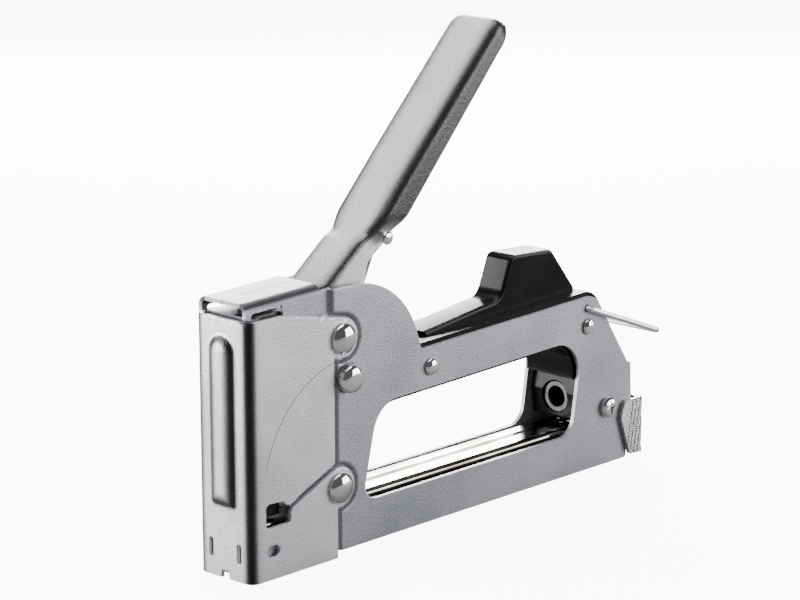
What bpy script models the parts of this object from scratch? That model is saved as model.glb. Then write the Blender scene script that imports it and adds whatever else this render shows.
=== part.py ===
"""Hand staple gun: pressed steel body, squeeze handle, spring hammer and staple magazine.

+X runs from the nose to the rear, +Y across the tool and +Z up. Sizes are in millimetres and
degrees, and meshes are scaled to metres as they are made. X is counted from the front of the nose
and Z from its foot, and the root empty then brings the middle of the tool to the origin.
"""

import math

import bmesh
import bpy
import numpy as np
from mathutils import Matrix

MM = 0.001

# ---- driving dimensions ----
STAPLE_CROWN = 10.6
STAPLE_LEG = 8.0
SHEET = 1.2
GAP = 0.3
BODY_LENGTH = 159.9
NOSE_HEIGHT = 72.4
HANDLE_LENGTH = 81.0
HANDLE_ANGLE = 46.5

# ---- magazine, worked out from the staple ----
MAG_WALL = 0.9
MAG_HALF = STAPLE_CROWN / 2 + GAP + MAG_WALL
MAG_FLOOR = 2.4
MAG_TOP = 15.2
MAG_FRONT = 3.3
TRACK_HALF = 3.8
TRACK_WALL = 0.8
TRACK_TOP = 11.0
STAPLE_WIRE = 1.1
STAPLE_STICK = 30.0
ROD_RADIUS = 1.4
ROD_HEAD = 2.3
ROD_Z = 7.0
RUNNING = 0.2

# ---- body plates ----
SIDE_CLEARANCE = 1.3
FRONT_IN = MAG_HALF + SIDE_CLEARANCE
FRONT_OUT = FRONT_IN + SHEET
COVER_IN = FRONT_OUT + GAP
BODY_HALF = COVER_IN + SHEET
REAR_IN = BODY_HALF - SHEET
COVER_CORNER = 2.8
PLATE_EDGE = COVER_CORNER - 0.2
BLADE_FRONT = SHEET + GAP
PLATE_FOOT = 1.9
JOGGLE_X = 31.8
JOGGLE_SLOPE = 0.7
FOOT_STEP = 1.0
TOP_Z = NOSE_HEIGHT + 4.9
TOP_LENGTH = 28.0
TOP_BEND = 2.6
BAR_RISE_DEG = 1.75
BAR_TOP = NOSE_HEIGHT - 19.3
BAR_DEPTH = 11.9
HOLE_FRONT = 42.5
HOLE_FLOOR = MAG_TOP - 1.3
HOLE_LEAN = 0.24
HOLE_FILLET = 10.0
PART_SHARE = 0.6264
REAR_INSET = 25.6

# ---- pivot, handle and hammer ----
PIVOT_X = 37.0
PIVOT_Z = NOSE_HEIGHT - 21.8
PIN_RADIUS = 4.0
PIN_PROUD = 3.3
HUMP_RADIUS = 26.2
HUB_RADIUS = 7.5
NECK_CLEARANCE = 0.6
NECK_HALF = FRONT_IN - NECK_CLEARANCE
GRIP_HALF = 9.25
GRIP_DEPTH = 8.2
GRIP_OFFSET = 18.1
GRIP_START = 31.4
GRIP_EDGE = 2.8
LEVER_HALF = 3.0
TIP_BACK = 21.0
TIP_DROP = 12.6
TIP_RADIUS = 3.6
TIP_FREE = 0.6
BLADE = 1.3
BLADE_HALF = STAPLE_CROWN / 2
PLUNGER_FRONT = BLADE_FRONT + BLADE + GAP
PLUNGER_DEPTH = 13.6
SPRING_X = PLUNGER_FRONT + 7.8
SPRING_RADIUS = 5.4
SPRING_WIRE = 1.0
RETURN_WIRE = 0.25

# ---- cover, fasteners, bail and insert ----
LOBE_RADIUS = 5.7
LOBE_STEPS = 17
SHOULDER_X = 12.5
RIVET_RADIUS = 2.2
RIVET_HEAD = 4.4
SMALL_RIVET = 1.6
HANDLE_RIVET = 1.5
SMALL_HEAD = 2.5
SCREW_RADIUS = 1.7
SCREW_HEAD = 3.1
WASHER_RADIUS = 6.4
WASHER = 0.6
UPPER_RIVET = (35.2, NOSE_HEIGHT - 10.3)
LOWER_RIVET = (33.6, 20.2)
RIB_HALF = 5.1
RIB_RISE = 1.7
BAIL_WIRE = 0.9
BAIL_REACH = 35.7
BAIL_DROP_DEG = 21.0
FIN_HALF = 5.0
FIN_FRONT = 111.0
INSERT_PROUD = 1.2
CAP_GAP = 2.4
CAP_HALF = BODY_HALF + GAP + SHEET

# ---- places at the rear, counted from the rear edge ----
REAR_X = BODY_LENGTH
BAIL_X = REAR_X - 21.3
BAIL_Z = BAR_TOP - 1.2
BACK_RIVET = (REAR_X - 20.8, BAR_TOP - 6.8)
FRONT_BODY_RIVET = (70.3, BAR_TOP - 5.7)
SCREW = (REAR_X - 11.7, 19.7)
CAP_WALL_X = REAR_X + CAP_GAP
BAIL_END_X = BAIL_X + BAIL_REACH * math.cos(math.radians(BAIL_DROP_DEG)) + BAIL_WIRE
ORIGIN_X = (BAIL_END_X - RIB_RISE) / 2

# ---- heights that share the room they stand in ----
HOLE_TOP = BAR_TOP - BAR_DEPTH
HOLE_HEIGHT = HOLE_TOP - HOLE_FLOOR
PART_LINE = HOLE_FLOOR + PART_SHARE * HOLE_HEIGHT
LATCH_LOW = MAG_TOP + 1.6
LATCH_HIGH = PART_LINE - 0.4
LATCH_BORE_Z = (LATCH_LOW + LATCH_HIGH) / 2 - 0.5
SLEEVE_RADIUS = (LATCH_HIGH - LATCH_LOW) / 3
TIP_Z = PIVOT_Z - TIP_DROP
BUMPER_LOW = MAG_TOP + 1.2
BUMPER_SHARE = 0.592
BUMPER_HIGH = BUMPER_LOW + BUMPER_SHARE * (TIP_Z - TIP_RADIUS - TIP_FREE - BUMPER_LOW)
PLUNGER_RISE = 7.4
SIDES = (("left", -1), ("right", 1))


# ---------------------------------------------------------------- outlines

def arc(cx, cz, radius, start, end):
    """Points on an arc, one about every 15 degrees, both ends included."""
    count = max(2, math.ceil(abs(end - start) / 15.0))
    angles = np.radians(np.linspace(start, end, count + 1))
    return [(cx + radius * math.cos(a), cz + radius * math.sin(a)) for a in angles]


def circle(cx, cz, radius, count=24):
    """Closed ring of points, counter-clockwise."""
    angles = np.arange(count) * 2 * math.pi / count
    return [(cx + radius * math.cos(a), cz + radius * math.sin(a)) for a in angles]


def rounded(corners):
    """Closed outline from (x, z, radius) corners, each turned into its tangent arc."""
    points = []
    count = len(corners)
    for i in range(count):
        x, z, radius = corners[i]
        before = np.array(corners[i - 1][:2])
        after = np.array(corners[(i + 1) % count][:2])
        here = np.array((x, z))
        back = (before - here) / np.linalg.norm(before - here)
        ahead = (after - here) / np.linalg.norm(after - here)
        half = math.acos(np.clip(back @ ahead, -1, 1)) / 2
        if radius <= 0 or half > math.radians(88):
            points.append((x, z))
            continue
        middle = (back + ahead) / np.linalg.norm(back + ahead)
        centre = here + middle * radius / math.sin(half)
        first = here + back * radius / math.tan(half) - centre
        last = here + ahead * radius / math.tan(half) - centre
        start = math.degrees(math.atan2(first[1], first[0]))
        turn = math.degrees(math.atan2(last[1], last[0])) - start
        turn = (turn + 180) % 360 - 180
        points += arc(centre[0], centre[1], radius, start, start + turn)
    return points


def grown(outline, amount):
    """The outline moved outwards by an amount, with the same number of points."""
    points = np.array(outline)
    ahead = np.roll(points, -1, axis=0) - points
    area = np.sum(points[:, 0] * np.roll(points[:, 1], -1) - np.roll(points[:, 0], -1) * points[:, 1])
    ahead = ahead / np.linalg.norm(ahead, axis=1)[:, None]
    normal = np.stack([ahead[:, 1], -ahead[:, 0]], axis=1) * np.sign(area)
    mitre = normal + np.roll(normal, 1, axis=0)
    mitre = mitre / np.sum(mitre * mitre, axis=1)[:, None] * 2
    return [tuple(p) for p in points + mitre * amount]


def bar_line(x):
    """Height of the side plate's top edge along the bar."""
    return BAR_TOP + (x - 67.0) * math.tan(math.radians(BAR_RISE_DEG))


def shoulder_angle():
    """Direction from the upper rivet to where the cover's sloping top meets the lobe, in radians."""
    x, z = UPPER_RIVET
    across = SHOULDER_X - x
    up = NOSE_HEIGHT - z
    return math.atan2(up, across) - math.acos(LOBE_RADIUS / math.hypot(across, up))


def lobed_edge(x, radius):
    """Points up the nose cover's rear edge, out round each cover rivet, to the sloping top."""
    points = []
    lower, upper = LOWER_RIVET, UPPER_RIVET
    spans = ((lower, -math.acos((x + FOOT_STEP - lower[0]) / radius), math.acos((x - lower[0]) / radius)),
             (upper, -math.acos((x - upper[0]) / radius), shoulder_angle()))
    for (cx, cz), start, end in spans:
        points += [(cx + radius * math.cos(a), cz + radius * math.sin(a))
                   for a in np.linspace(start, end, LOBE_STEPS)]
    return points


# ---------------------------------------------------------------- solids

def to_space(outline, axis, level):
    """Outline points placed in space at a level along an axis."""
    ring = np.zeros((len(outline), 3))
    others = [i for i in range(3) if i != axis]
    ring[:, others] = outline
    ring[:, axis] = level
    return ring


def mesh_object(name, verts, faces):
    """Object holding one closed body with its faces turned outwards."""
    mesh = bpy.data.meshes.new(name)
    mesh.from_pydata([tuple(v) for v in np.asarray(verts) * MM], [], faces)
    work = bmesh.new()
    work.from_mesh(mesh)
    bmesh.ops.recalc_face_normals(work, faces=work.faces)
    work.to_mesh(mesh)
    work.free()
    obj = bpy.data.objects.new(name, mesh)
    bpy.context.collection.objects.link(obj)
    return obj


def loft(name, rings, ring_closed=False):
    """Skin over rings of equal length, capped at both ends or joined end to end."""
    count = len(rings[0])
    total = len(rings)
    faces = []
    for k in range(total if ring_closed else total - 1):
        low = k * count
        high = (k + 1) % total * count
        for i in range(count):
            j = (i + 1) % count
            faces.append((low + i, low + j, high + j, high + i))
    if not ring_closed:
        faces.append(tuple(range(count)))
        faces.append(tuple(range((total - 1) * count, total * count)))
    return mesh_object(name, np.concatenate(rings), faces)


def prism(name, outline, axis, low, high):
    """Outline carried straight along an axis."""
    return loft(name, [to_space(outline, axis, low), to_space(outline, axis, high)])


def box(name, low, high):
    """Block between two corners."""
    outline = [(low[0], low[1]), (high[0], low[1]), (high[0], high[1]), (low[0], high[1])]
    return prism(name, outline, 2, low[2], high[2])


def turned(name, axis, centre, profile, count=24):
    """Solid of revolution from (level, radius) steps along an axis."""
    rings = [to_space(circle(centre[0], centre[1], r, count), axis, h) for h, r in profile]
    return loft(name, rings)


def tube(name, axis, centre, low, high, outer, inner, count=24):
    """Straight tube."""
    steps = [(low, outer), (high, outer), (high, inner), (low, inner)]
    rings = [to_space(circle(centre[0], centre[1], r, count), axis, h) for h, r in steps]
    return loft(name, rings, ring_closed=True)


def sweep(name, path, radius, sides=8):
    """Round wire along a path of points, its section carried without twist."""
    path = np.array(path, dtype=float)
    tangents = np.gradient(path, axis=0)
    tangents /= np.linalg.norm(tangents, axis=1)[:, None]
    side = np.cross(tangents[0], (0.31, 0.17, 0.94))
    rings = []
    for point, tangent in zip(path, tangents):
        side = side - tangent * (side @ tangent)
        side = side / np.linalg.norm(side)
        other = np.cross(tangent, side)
        angles = np.arange(sides) * 2 * math.pi / sides
        rings.append(point + radius * (np.outer(np.cos(angles), side) + np.outer(np.sin(angles), other)))
    return loft(name, rings)


def coil(name, axis, centre, radius, wire, turns, low, high, sides=6):
    """Helical spring along an axis, with 14 steps to a turn."""
    steps = np.linspace(0, turns, int(turns * 14) + 1)
    angle = steps * 2 * math.pi
    path = np.zeros((len(steps), 3))
    others = [i for i in range(3) if i != axis]
    path[:, others[0]] = centre[0] + radius * np.cos(angle)
    path[:, others[1]] = centre[1] + radius * np.sin(angle)
    path[:, axis] = low + wire + (high - low - 2 * wire) * steps / turns
    return sweep(name, path, wire, sides)


def combine(obj, others, operation):
    """Boolean of an object with others, which are used up."""
    for other in others:
        modifier = obj.modifiers.new("combine", "BOOLEAN")
        modifier.operation = operation
        modifier.object = other
        graph = bpy.context.evaluated_depsgraph_get()
        result = bpy.data.meshes.new_from_object(obj.evaluated_get(graph))
        obj.modifiers.remove(modifier)
        obj.data = result
        bpy.data.objects.remove(other)
    work = bmesh.new()
    work.from_mesh(obj.data)
    bmesh.ops.remove_doubles(work, verts=work.verts, dist=2e-6)
    bmesh.ops.dissolve_degenerate(work, edges=work.edges, dist=2e-6)
    work.to_mesh(obj.data)
    work.free()
    return obj


def cut(obj, *others):
    return combine(obj, others, "DIFFERENCE")


def join(obj, *others):
    return combine(obj, others, "UNION")


def mirrored(name, obj):
    """Copy of an object turned to the other side of the tool."""
    mesh = obj.data.copy()
    work = bmesh.new()
    work.from_mesh(mesh)
    bmesh.ops.scale(work, vec=(1, -1, 1), verts=work.verts)
    bmesh.ops.reverse_faces(work, faces=work.faces)
    work.to_mesh(mesh)
    work.free()
    result = bpy.data.objects.new(name, mesh)
    bpy.context.collection.objects.link(result)
    return result


def material(name, colour, roughness, metallic):
    made = bpy.data.materials.new(name)
    made.use_nodes = True
    shader = made.node_tree.nodes["Principled BSDF"]
    shader.inputs["Base Color"].default_value = (*colour, 1.0)
    shader.inputs["Roughness"].default_value = roughness
    shader.inputs["Metallic"].default_value = metallic
    return made


def joint_empty(name, parent, x, z):
    """Empty on a joint's axis, or at the origin of a body."""
    empty = bpy.data.objects.new(name, None)
    bpy.context.collection.objects.link(empty)
    empty.parent = parent
    base = parent["place"] if parent else (0.0, 0.0)
    empty.location = ((x - base[0]) * MM, 0, (z - base[1]) * MM)
    empty["place"] = (x, z)
    return empty


def place(obj, finish, home):
    """Name the finish, smooth the round faces and hang the object on its body's empty."""
    obj.data.materials.clear()
    obj.data.materials.append(finish)
    x, z = home["place"]
    obj.data.transform(Matrix.Translation((-x * MM, 0, -z * MM)))
    work = bmesh.new()
    work.from_mesh(obj.data)
    bmesh.ops.triangulate(work, faces=work.faces, ngon_method="BEAUTY")
    work.to_mesh(obj.data)
    work.free()
    obj.data.shade_smooth()
    obj.data.set_sharp_from_angle(angle=math.radians(32))
    obj.parent = home


# ---------------------------------------------------------------- body

def plate_outline():
    """Side plate seen from the side, without the bent top flange."""
    corner = REAR_X - 17.5
    arc_start = math.degrees(math.atan2(TOP_Z - 1.1 - PIVOT_Z + 0.6, 3.7))
    arc_end = math.degrees(math.asin((BAR_TOP - PIVOT_Z + 0.6) / HUMP_RADIUS))
    hump = arc(PIVOT_X + 3.0, PIVOT_Z - 0.6, HUMP_RADIUS, arc_end + 6, arc_start)
    points = rounded([
        (PLATE_EDGE, PLATE_FOOT, 0),
        (REAR_X - 2.2, PLATE_FOOT, 1),
        (REAR_X, 21.1, 3),
        (REAR_X - 0.4, PART_LINE + 0.5, 0.5),
        (REAR_X - 1.8, PART_LINE + 0.7, 0),
        (corner, bar_line(corner), 6),
        (PIVOT_X + 29.6, BAR_TOP, 0),
    ])
    points += hump
    return points + [(29.4, TOP_Z - 1.1), (28.6, TOP_Z - 1.8), (PLATE_EDGE, TOP_Z - TOP_BEND)]


def finger_hole():
    """Outline of the finger hole in the side plates."""
    rear = REAR_X - REAR_INSET
    fillet = min(HOLE_FILLET, 0.38 * HOLE_HEIGHT)
    return rounded([
        (HOLE_FRONT, HOLE_FLOOR, fillet * 0.45),
        (rear - 2.0, HOLE_FLOOR + 0.3, fillet * 0.6),
        (rear + 2.8, bar_line(rear) - BAR_DEPTH, fillet),
        (HOLE_FRONT + HOLE_HEIGHT * HOLE_LEAN, HOLE_TOP - 0.3, fillet),
    ])


def joggle_outline(extra):
    """Area pressed inwards under the cover, with room round both cover rivets."""
    line = JOGGLE_X + GAP + extra
    edge = lobed_edge(line, LOBE_RADIUS + GAP + extra)
    foot = [(-20, -20), (line + FOOT_STEP, -20)]
    x = line - 1.5
    slope_end = edge[-1][1] + (edge[-1][0] - x) / math.tan(shoulder_angle())
    return foot + edge + [(x, slope_end), (x, TOP_Z + 20), (-20, TOP_Z + 20)]


def round_hole(centre, radius, low, high):
    return turned("hole", 1, centre, [(low, radius), (high, radius)])


def top_flange():
    """Front top of a plate, bent over towards the seam in the middle."""
    outer = arc(FRONT_OUT - TOP_BEND, TOP_Z - TOP_BEND, TOP_BEND, 0, 90)
    inner = arc(FRONT_OUT - TOP_BEND, TOP_Z - TOP_BEND, TOP_BEND - SHEET, 90, 0)
    low = TOP_Z - TOP_BEND - 2.0
    outline = [(FRONT_IN, low), (FRONT_OUT, low)] + outer
    outline += [(GAP / 2, TOP_Z), (GAP / 2, TOP_Z - SHEET)] + inner
    outline = [(-y, z) for y, z in outline]
    rise = TOP_LENGTH * math.tan(math.radians(BAR_RISE_DEG))
    front = to_space(outline, 0, GAP)
    rear = to_space([(y, z + rise * 0.9) for y, z in outline], 0, TOP_LENGTH)
    return loft("top_flange", [front, rear])


def make_plate():
    """Left side plate: joggled inwards at the front, holed, and topped by its flange."""
    plate = prism("body_plate_left", plate_outline(), 1, -BODY_HALF, -FRONT_IN)
    shallow = joggle_outline(JOGGLE_SLOPE)
    deep = joggle_outline(0.0)
    recess = loft("recess", [
        to_space(grown(shallow, JOGGLE_SLOPE), 1, -BODY_HALF - JOGGLE_SLOPE),
        to_space(shallow, 1, -BODY_HALF),
        to_space(deep, 1, -FRONT_OUT),
    ])
    inner_edge = joggle_outline(SHEET)
    pocket_outline = [(REAR_X + 20, -20), (REAR_X + 20, TOP_Z + 20)] + inner_edge[::-1][1:-1]
    pocket = prism("pocket", pocket_outline, 1, -REAR_IN, 0)
    hole = prism("hole", finger_hole(), 1, -BODY_HALF - 5, 0)
    slot = prism("slot", rounded([
        (2.2, TOP_Z - 7, 0), (14.2, TOP_Z - 7, 0),
        (14.2, TOP_Z - 2.9, 0.8), (2.2, TOP_Z - 2.9, 0.8)]), 1, -BODY_HALF, 0)
    window = prism("window", rounded([
        (4.4, MAG_TOP - 1.4, 1), (15.6, MAG_TOP - 1.4, 1),
        (15.6, MAG_TOP + 7.4, 1), (4.4, MAG_TOP + 7.4, 1)]), 1, -BODY_HALF, 0)
    holes = [
        round_hole((PIVOT_X, PIVOT_Z), PIN_RADIUS + RUNNING + 0.1, -BODY_HALF - 2, 0),
        round_hole(UPPER_RIVET, RIVET_RADIUS + GAP, -BODY_HALF - 2, 0),
        round_hole(LOWER_RIVET, RIVET_RADIUS + GAP, -BODY_HALF - 2, 0),
        round_hole(FRONT_BODY_RIVET, SMALL_RIVET + GAP, -BODY_HALF - 2, 0),
        round_hole(BACK_RIVET, SMALL_RIVET + GAP, -BODY_HALF - 2, 0),
        round_hole((BAIL_X, BAIL_Z), BAIL_WIRE + RUNNING + 0.1, -BODY_HALF - 2, 0),
        round_hole(SCREW, SCREW_RADIUS + GAP, -BODY_HALF - 2, 0),
    ]
    plate = cut(plate, recess, pocket)
    plate = join(plate, top_flange())
    return cut(plate, hole, slot, window, *holes)


def cover_outline():
    """Nose cover seen from the side: two rivet lobes on its rear edge, the top edge sloping to one."""
    foot = [(-5, 0), (JOGGLE_X + FOOT_STEP, 0)]
    return foot + lobed_edge(JOGGLE_X, LOBE_RADIUS) + [(SHOULDER_X, NOSE_HEIGHT), (-5, NOSE_HEIGHT)]


def make_cover():
    """Nose cover: sheet wrapped round the front, with a rib raised on its face."""
    plan = rounded([(60, -BODY_HALF, 0), (0, -BODY_HALF, COVER_CORNER),
                    (0, BODY_HALF, COVER_CORNER), (60, BODY_HALF, 0)])
    bend = COVER_CORNER - SHEET
    inner = rounded([(70, -COVER_IN, 0), (SHEET, -COVER_IN, bend),
                     (SHEET, COVER_IN, bend), (70, COVER_IN, 0)])
    cover = prism("nose_cover", plan, 2, -2, NOSE_HEIGHT + 2)
    side = prism("side", cover_outline(), 1, -20, 20)
    cover = combine(cover, [side], "INTERSECT")
    cover = cut(cover, prism("inner", inner, 2, -5, NOSE_HEIGHT + 5))
    low, high = 20.0, NOSE_HEIGHT - 4.4
    rib = rounded([(-RIB_HALF, low, 1.5), (RIB_HALF, low, 1.5),
                   (RIB_HALF, high, RIB_HALF - 0.1), (-RIB_HALF, high, RIB_HALF - 0.1)])
    outer = loft("rib", [to_space(rib, 0, SHEET * 0.5), to_space(rib, 0, 0),
                         to_space(grown(rib, -1.0), 0, -RIB_RISE * 0.75),
                         to_space(grown(rib, -2.0), 0, -RIB_RISE)])
    hollow = loft("hollow", [to_space(grown(rib, -0.9), 0, SHEET * 2),
                             to_space(grown(rib, -0.9), 0, SHEET - 0.3),
                             to_space(grown(rib, -1.9), 0, -RIB_RISE * 0.75 + 1.0),
                             to_space(grown(rib, -2.7), 0, -RIB_RISE + 0.9)])
    cover = join(cover, outer)
    cover = cut(cover, hollow)
    slots = [prism("slot", rounded([(y - 0.9, 5.2, 0.4), (y + 0.9, 5.2, 0.4),
                                    (y + 0.9, 10.7, 0.4), (y - 0.9, 10.7, 0.4)]), 0, -3, 3)
             for y in (-5.4, 5.4)]
    notch = box("notch", (-3, -1.5, -3), (3, 1.5, 2.3))
    window = prism("window", rounded([(5.4, 14.7, 1), (14.7, 14.7, 0.8), (14.7, 17.6, 1),
                                      (12.7, 21.0, 1), (5.4, 21.6, 1)]), 1, -20, 20)
    diagonal = prism("diagonal", [(13.6, 17.7), (40, 28.9), (40, 30.9), (12.5, 19.3)], 1, -20, 20)
    oval = prism("oval", rounded([(5.7, 6.35, 1.6), (10.5, 6.35, 1.6), (10.5, 9.65, 1.6), (5.7, 9.65, 1.6)]),
                 1, -20, 20)
    holes = [turned("hole", 1, c, [(-20, RIVET_RADIUS + GAP), (20, RIVET_RADIUS + GAP)])
             for c in (UPPER_RIVET, LOWER_RIVET)]
    return cut(cover, *slots, notch, window, diagonal, oval, *holes)


def dome(face, radius, rise, shank):
    """Profile steps of a domed head that stands on a face, from its shank outwards."""
    base = face + GAP
    return [(base, shank), (base, radius), (base + rise * 0.4, radius * 0.95),
            (base + rise * 0.75, radius * 0.72), (base + rise, radius * 0.2)]


def domed_head(name, centre, side, inner):
    """Rivet on one side of the tool: a domed head outside and a shank that ends inside."""
    steps = [(inner, RIVET_RADIUS)] + dome(BODY_HALF, RIVET_HEAD, 2.2, RIVET_RADIUS)
    return turned(name, 1, centre, [(side * h, r) for h, r in steps], 20)


def through_rivet(name, centre, face, radius, rise, shank):
    """Rivet right through the tool, with a domed head at each end."""
    head = dome(face, radius, rise, shank)
    steps = [(-h, r) for h, r in reversed(head)] + head
    return turned(name, 1, centre, steps, 20)


def make_rivets():
    """Two short rivets beside the handle's neck, and three that go right through."""
    inner = FRONT_IN + GAP
    upper = [domed_head("upper_rivet_" + name, UPPER_RIVET, side, inner) for name, side in SIDES]
    lower = through_rivet("lower_rivet", LOWER_RIVET, BODY_HALF, RIVET_HEAD, 2.2, RIVET_RADIUS)
    small = [through_rivet(name, centre, BODY_HALF, SMALL_HEAD, 1.3, SMALL_RIVET)
             for name, centre in (("front_body_rivet", FRONT_BODY_RIVET), ("rear_body_rivet", BACK_RIVET))]
    return upper + [lower] + small


def make_screw():
    """Rear screw: barrel head with a cross recess on the left, shank through to the nut."""
    face = BODY_HALF + GAP
    tip = BODY_HALF + 2.4
    steps = [(-face - 1.9, 1.4), (-face - 1.6, 2.5), (-face - 1.0, SCREW_HEAD), (-face, SCREW_HEAD),
             (-face, SCREW_RADIUS), (tip, SCREW_RADIUS)]
    screw = turned("rear_screw", 1, SCREW, steps, 20)
    x, z = SCREW
    across = box("across", (x - 1.8, -face - 3, z - 0.35), (x + 1.8, -face - 0.8, z + 0.35))
    upright = box("upright", (x - 0.35, -face - 3, z - 1.8), (x + 0.35, -face - 0.8, z + 1.8))
    return cut(screw, across, upright)


def make_nut():
    """Hexagon nut on the right end of the rear screw."""
    face = BODY_HALF + GAP
    bore = SCREW_RADIUS + RUNNING
    nut = turned("rear_nut", 1, SCREW, [(face, SCREW_HEAD), (face + 1.6, SCREW_HEAD), (face + 1.9, 2.7)], 6)
    return cut(nut, turned("bore", 1, SCREW, [(0, bore), (face + 9, bore)], 20))


# ---------------------------------------------------------------- handle

def handle_point(s, t):
    """Point in the handle's own frame, s along it and t out from the pivot, in side view."""
    a = math.radians(HANDLE_ANGLE)
    return (PIVOT_X + s * math.cos(a) - t * math.sin(a), PIVOT_Z + s * math.sin(a) + t * math.cos(a))


def grip_outline(inset):
    """Grip in side view, its back and tip drawn in by the inset."""
    end = GRIP_START + HANDLE_LENGTH - inset
    top = GRIP_OFFSET - inset
    under = GRIP_OFFSET - GRIP_DEPTH
    start = GRIP_START - 1.0
    corners = [(start, GRIP_OFFSET - 3.4, 0), (start + 0.5, GRIP_OFFSET - 6.0, 0), (start + 16.0, under, 3),
               (end - 0.5, under + 1.2, 2.0), (end, top - 0.5, 4.6), (start + 30, top, 0),
               (start - 0.4, top - 0.5, 0)]
    return rounded([(*handle_point(s, t), r) for s, t, r in corners])


def hollow_outline(inset):
    """Channel inside the grip: a wall in from its back and tip, and open underneath."""
    end = GRIP_START + HANDLE_LENGTH - SHEET - inset
    top = GRIP_OFFSET - SHEET - inset
    start = GRIP_START + 1.4
    corners = [(start, top - 16, 0), (end, top - 16, 0), (end, top - 0.5, 4.6 - SHEET),
               (start + 28, top, 0), (start, top - 0.5, 0)]
    return rounded([(*handle_point(s, t), r) for s, t, r in corners])


def neck_outline():
    """Neck in side view, from the hub round the pin up into the grip."""
    low = [(-HUB_RADIUS, 0), (-6.6, 25.0)]
    high = [(8.6, 36.9), (20.0, 44.0), (23.2, 41.0), (19.4, 35.2),
            (11.2, 30.0), (10.0, 22.0), (HUB_RADIUS, 0)]
    front = [(PIVOT_X + x, PIVOT_Z + z) for x, z in low]
    rear = [(PIVOT_X + x, PIVOT_Z + z) for x, z in high]
    return rear + arc(PIVOT_X, PIVOT_Z, HUB_RADIUS, 0, -180)[1:-1] + front


def neck_pocket():
    """Space inside the neck: open below and behind, with a web left along the front."""
    points = [(-HUB_RADIUS - 3, -HUB_RADIUS - 3), (-HUB_RADIUS - 3, 12.0), (-5.8, 12.0), (-5.3, 24.4),
              (9.8, 34.4), (20.5, 45.5), (40.0, 38.0), (20.0, -HUB_RADIUS - 3)]
    return [(PIVOT_X + x, PIVOT_Z + z) for x, z in points]


def pillowed(name, outline_at, half, radius, steps=3):
    """Solid across the tool whose side edges are rounded: its outline draws in near both sides."""
    angles = [math.pi / 2 * k / steps for k in range(steps + 1)]
    side = [(half - radius + radius * math.sin(a), radius * (1 - math.cos(a))) for a in angles]
    levels = [(-y, inset) for y, inset in reversed(side)] + side
    return loft(name, [to_space(outline_at(inset), 1, y) for y, inset in levels])


def make_handle_shell():
    """Pressed handle: a channel open underneath, with two ears that straddle the lever."""
    grip = pillowed("handle_shell", grip_outline, GRIP_HALF, GRIP_EDGE)
    grip = cut(grip, pillowed("hollow", hollow_outline, GRIP_HALF - SHEET, GRIP_EDGE - SHEET))
    neck = prism("neck", neck_outline(), 1, -NECK_HALF, NECK_HALF)
    inside = prism("inside", neck_pocket(), 1, -NECK_HALF + SHEET, NECK_HALF - SHEET)
    bore = round_hole((PIVOT_X, PIVOT_Z), PIN_RADIUS + GAP, -20, 20)
    rivet = round_hole(handle_rivet_place(), HANDLE_RIVET + GAP, -20, 20)
    shell = join(grip, neck)
    return cut(shell, inside, bore, rivet)


def handle_rivet_place():
    return (PIVOT_X + 17.0, PIVOT_Z + 36.2)


def make_handle_rivet():
    """Rivet that ties the lever's upper arm to the handle shell."""
    return through_rivet("handle_rivet", handle_rivet_place(), GRIP_HALF, 2.0, 0.7, HANDLE_RIVET)


def band(x0, z0, x1, z1, half):
    """Straight strip between two points."""
    along = np.array((x1 - x0, z1 - z0))
    side = np.array((-along[1], along[0])) / np.linalg.norm(along) * half
    ends = [np.array((x0, z0)), np.array((x1, z1))]
    return [tuple(ends[0] - side), tuple(ends[1] - side), tuple(ends[1] + side), tuple(ends[0] + side)]


def make_lever():
    """Steel lever: upper arm riveted in the handle, hub on the pin, tip in the plunger."""
    rx, rz = handle_rivet_place()
    tip = (PIVOT_X - TIP_BACK, TIP_Z)
    lever = prism("handle_lever", circle(PIVOT_X, PIVOT_Z, HUB_RADIUS - 0.3), 1, -LEVER_HALF, LEVER_HALF)
    front = prism("front", band(PIVOT_X, PIVOT_Z, tip[0], tip[1], 2.6), 1, -LEVER_HALF, LEVER_HALF)
    bulb = prism("bulb", circle(tip[0], tip[1], TIP_RADIUS, 20), 1, -LEVER_HALF, LEVER_HALF)
    upper = prism("upper", band(PIVOT_X, PIVOT_Z, rx, rz, 3.4), 1, -LEVER_HALF, LEVER_HALF)
    end = prism("end", circle(rx, rz, 3.4, 20), 1, -LEVER_HALF, LEVER_HALF)
    lever = join(lever, front, bulb, upper, end)
    bores = [round_hole((PIVOT_X, PIVOT_Z), PIN_RADIUS + GAP, -20, 20),
             round_hole((rx, rz), HANDLE_RIVET + GAP, -20, 20)]
    return cut(lever, *bores)


def make_pivot_pin():
    """Pin through both plates, its ends turned to shallow domes."""
    end = BODY_HALF + PIN_PROUD
    half = [(end, 1.2), (end - 0.25, 2.6), (end - 0.8, 3.5), (end - 1.5, PIN_RADIUS)]
    steps = [(-h, r) for h, r in half] + [(h, r) for h, r in reversed(half)]
    return turned("pivot_pin", 1, (PIVOT_X, PIVOT_Z), steps)


def make_washers():
    """Washers that centre the lever between the handle's ears."""
    low = LEVER_HALF + GAP
    return [tube("pivot_washer_" + name, 1, (PIVOT_X, PIVOT_Z), side * low, side * (low + WASHER),
                 WASHER_RADIUS, PIN_RADIUS + RUNNING) for name, side in SIDES]


def make_return_spring():
    """Torsion spring on the pin that lifts the handle again."""
    low = LEVER_HALF + WASHER + 2 * GAP
    high = NECK_HALF - SHEET - GAP
    turns = (high - low - 2 * RETURN_WIRE) / (2.5 * RETURN_WIRE)
    return coil("return_spring", 1, (PIVOT_X, PIVOT_Z), PIN_RADIUS + 1.2, RETURN_WIRE, turns, low, high)


# ---------------------------------------------------------------- hammer

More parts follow.
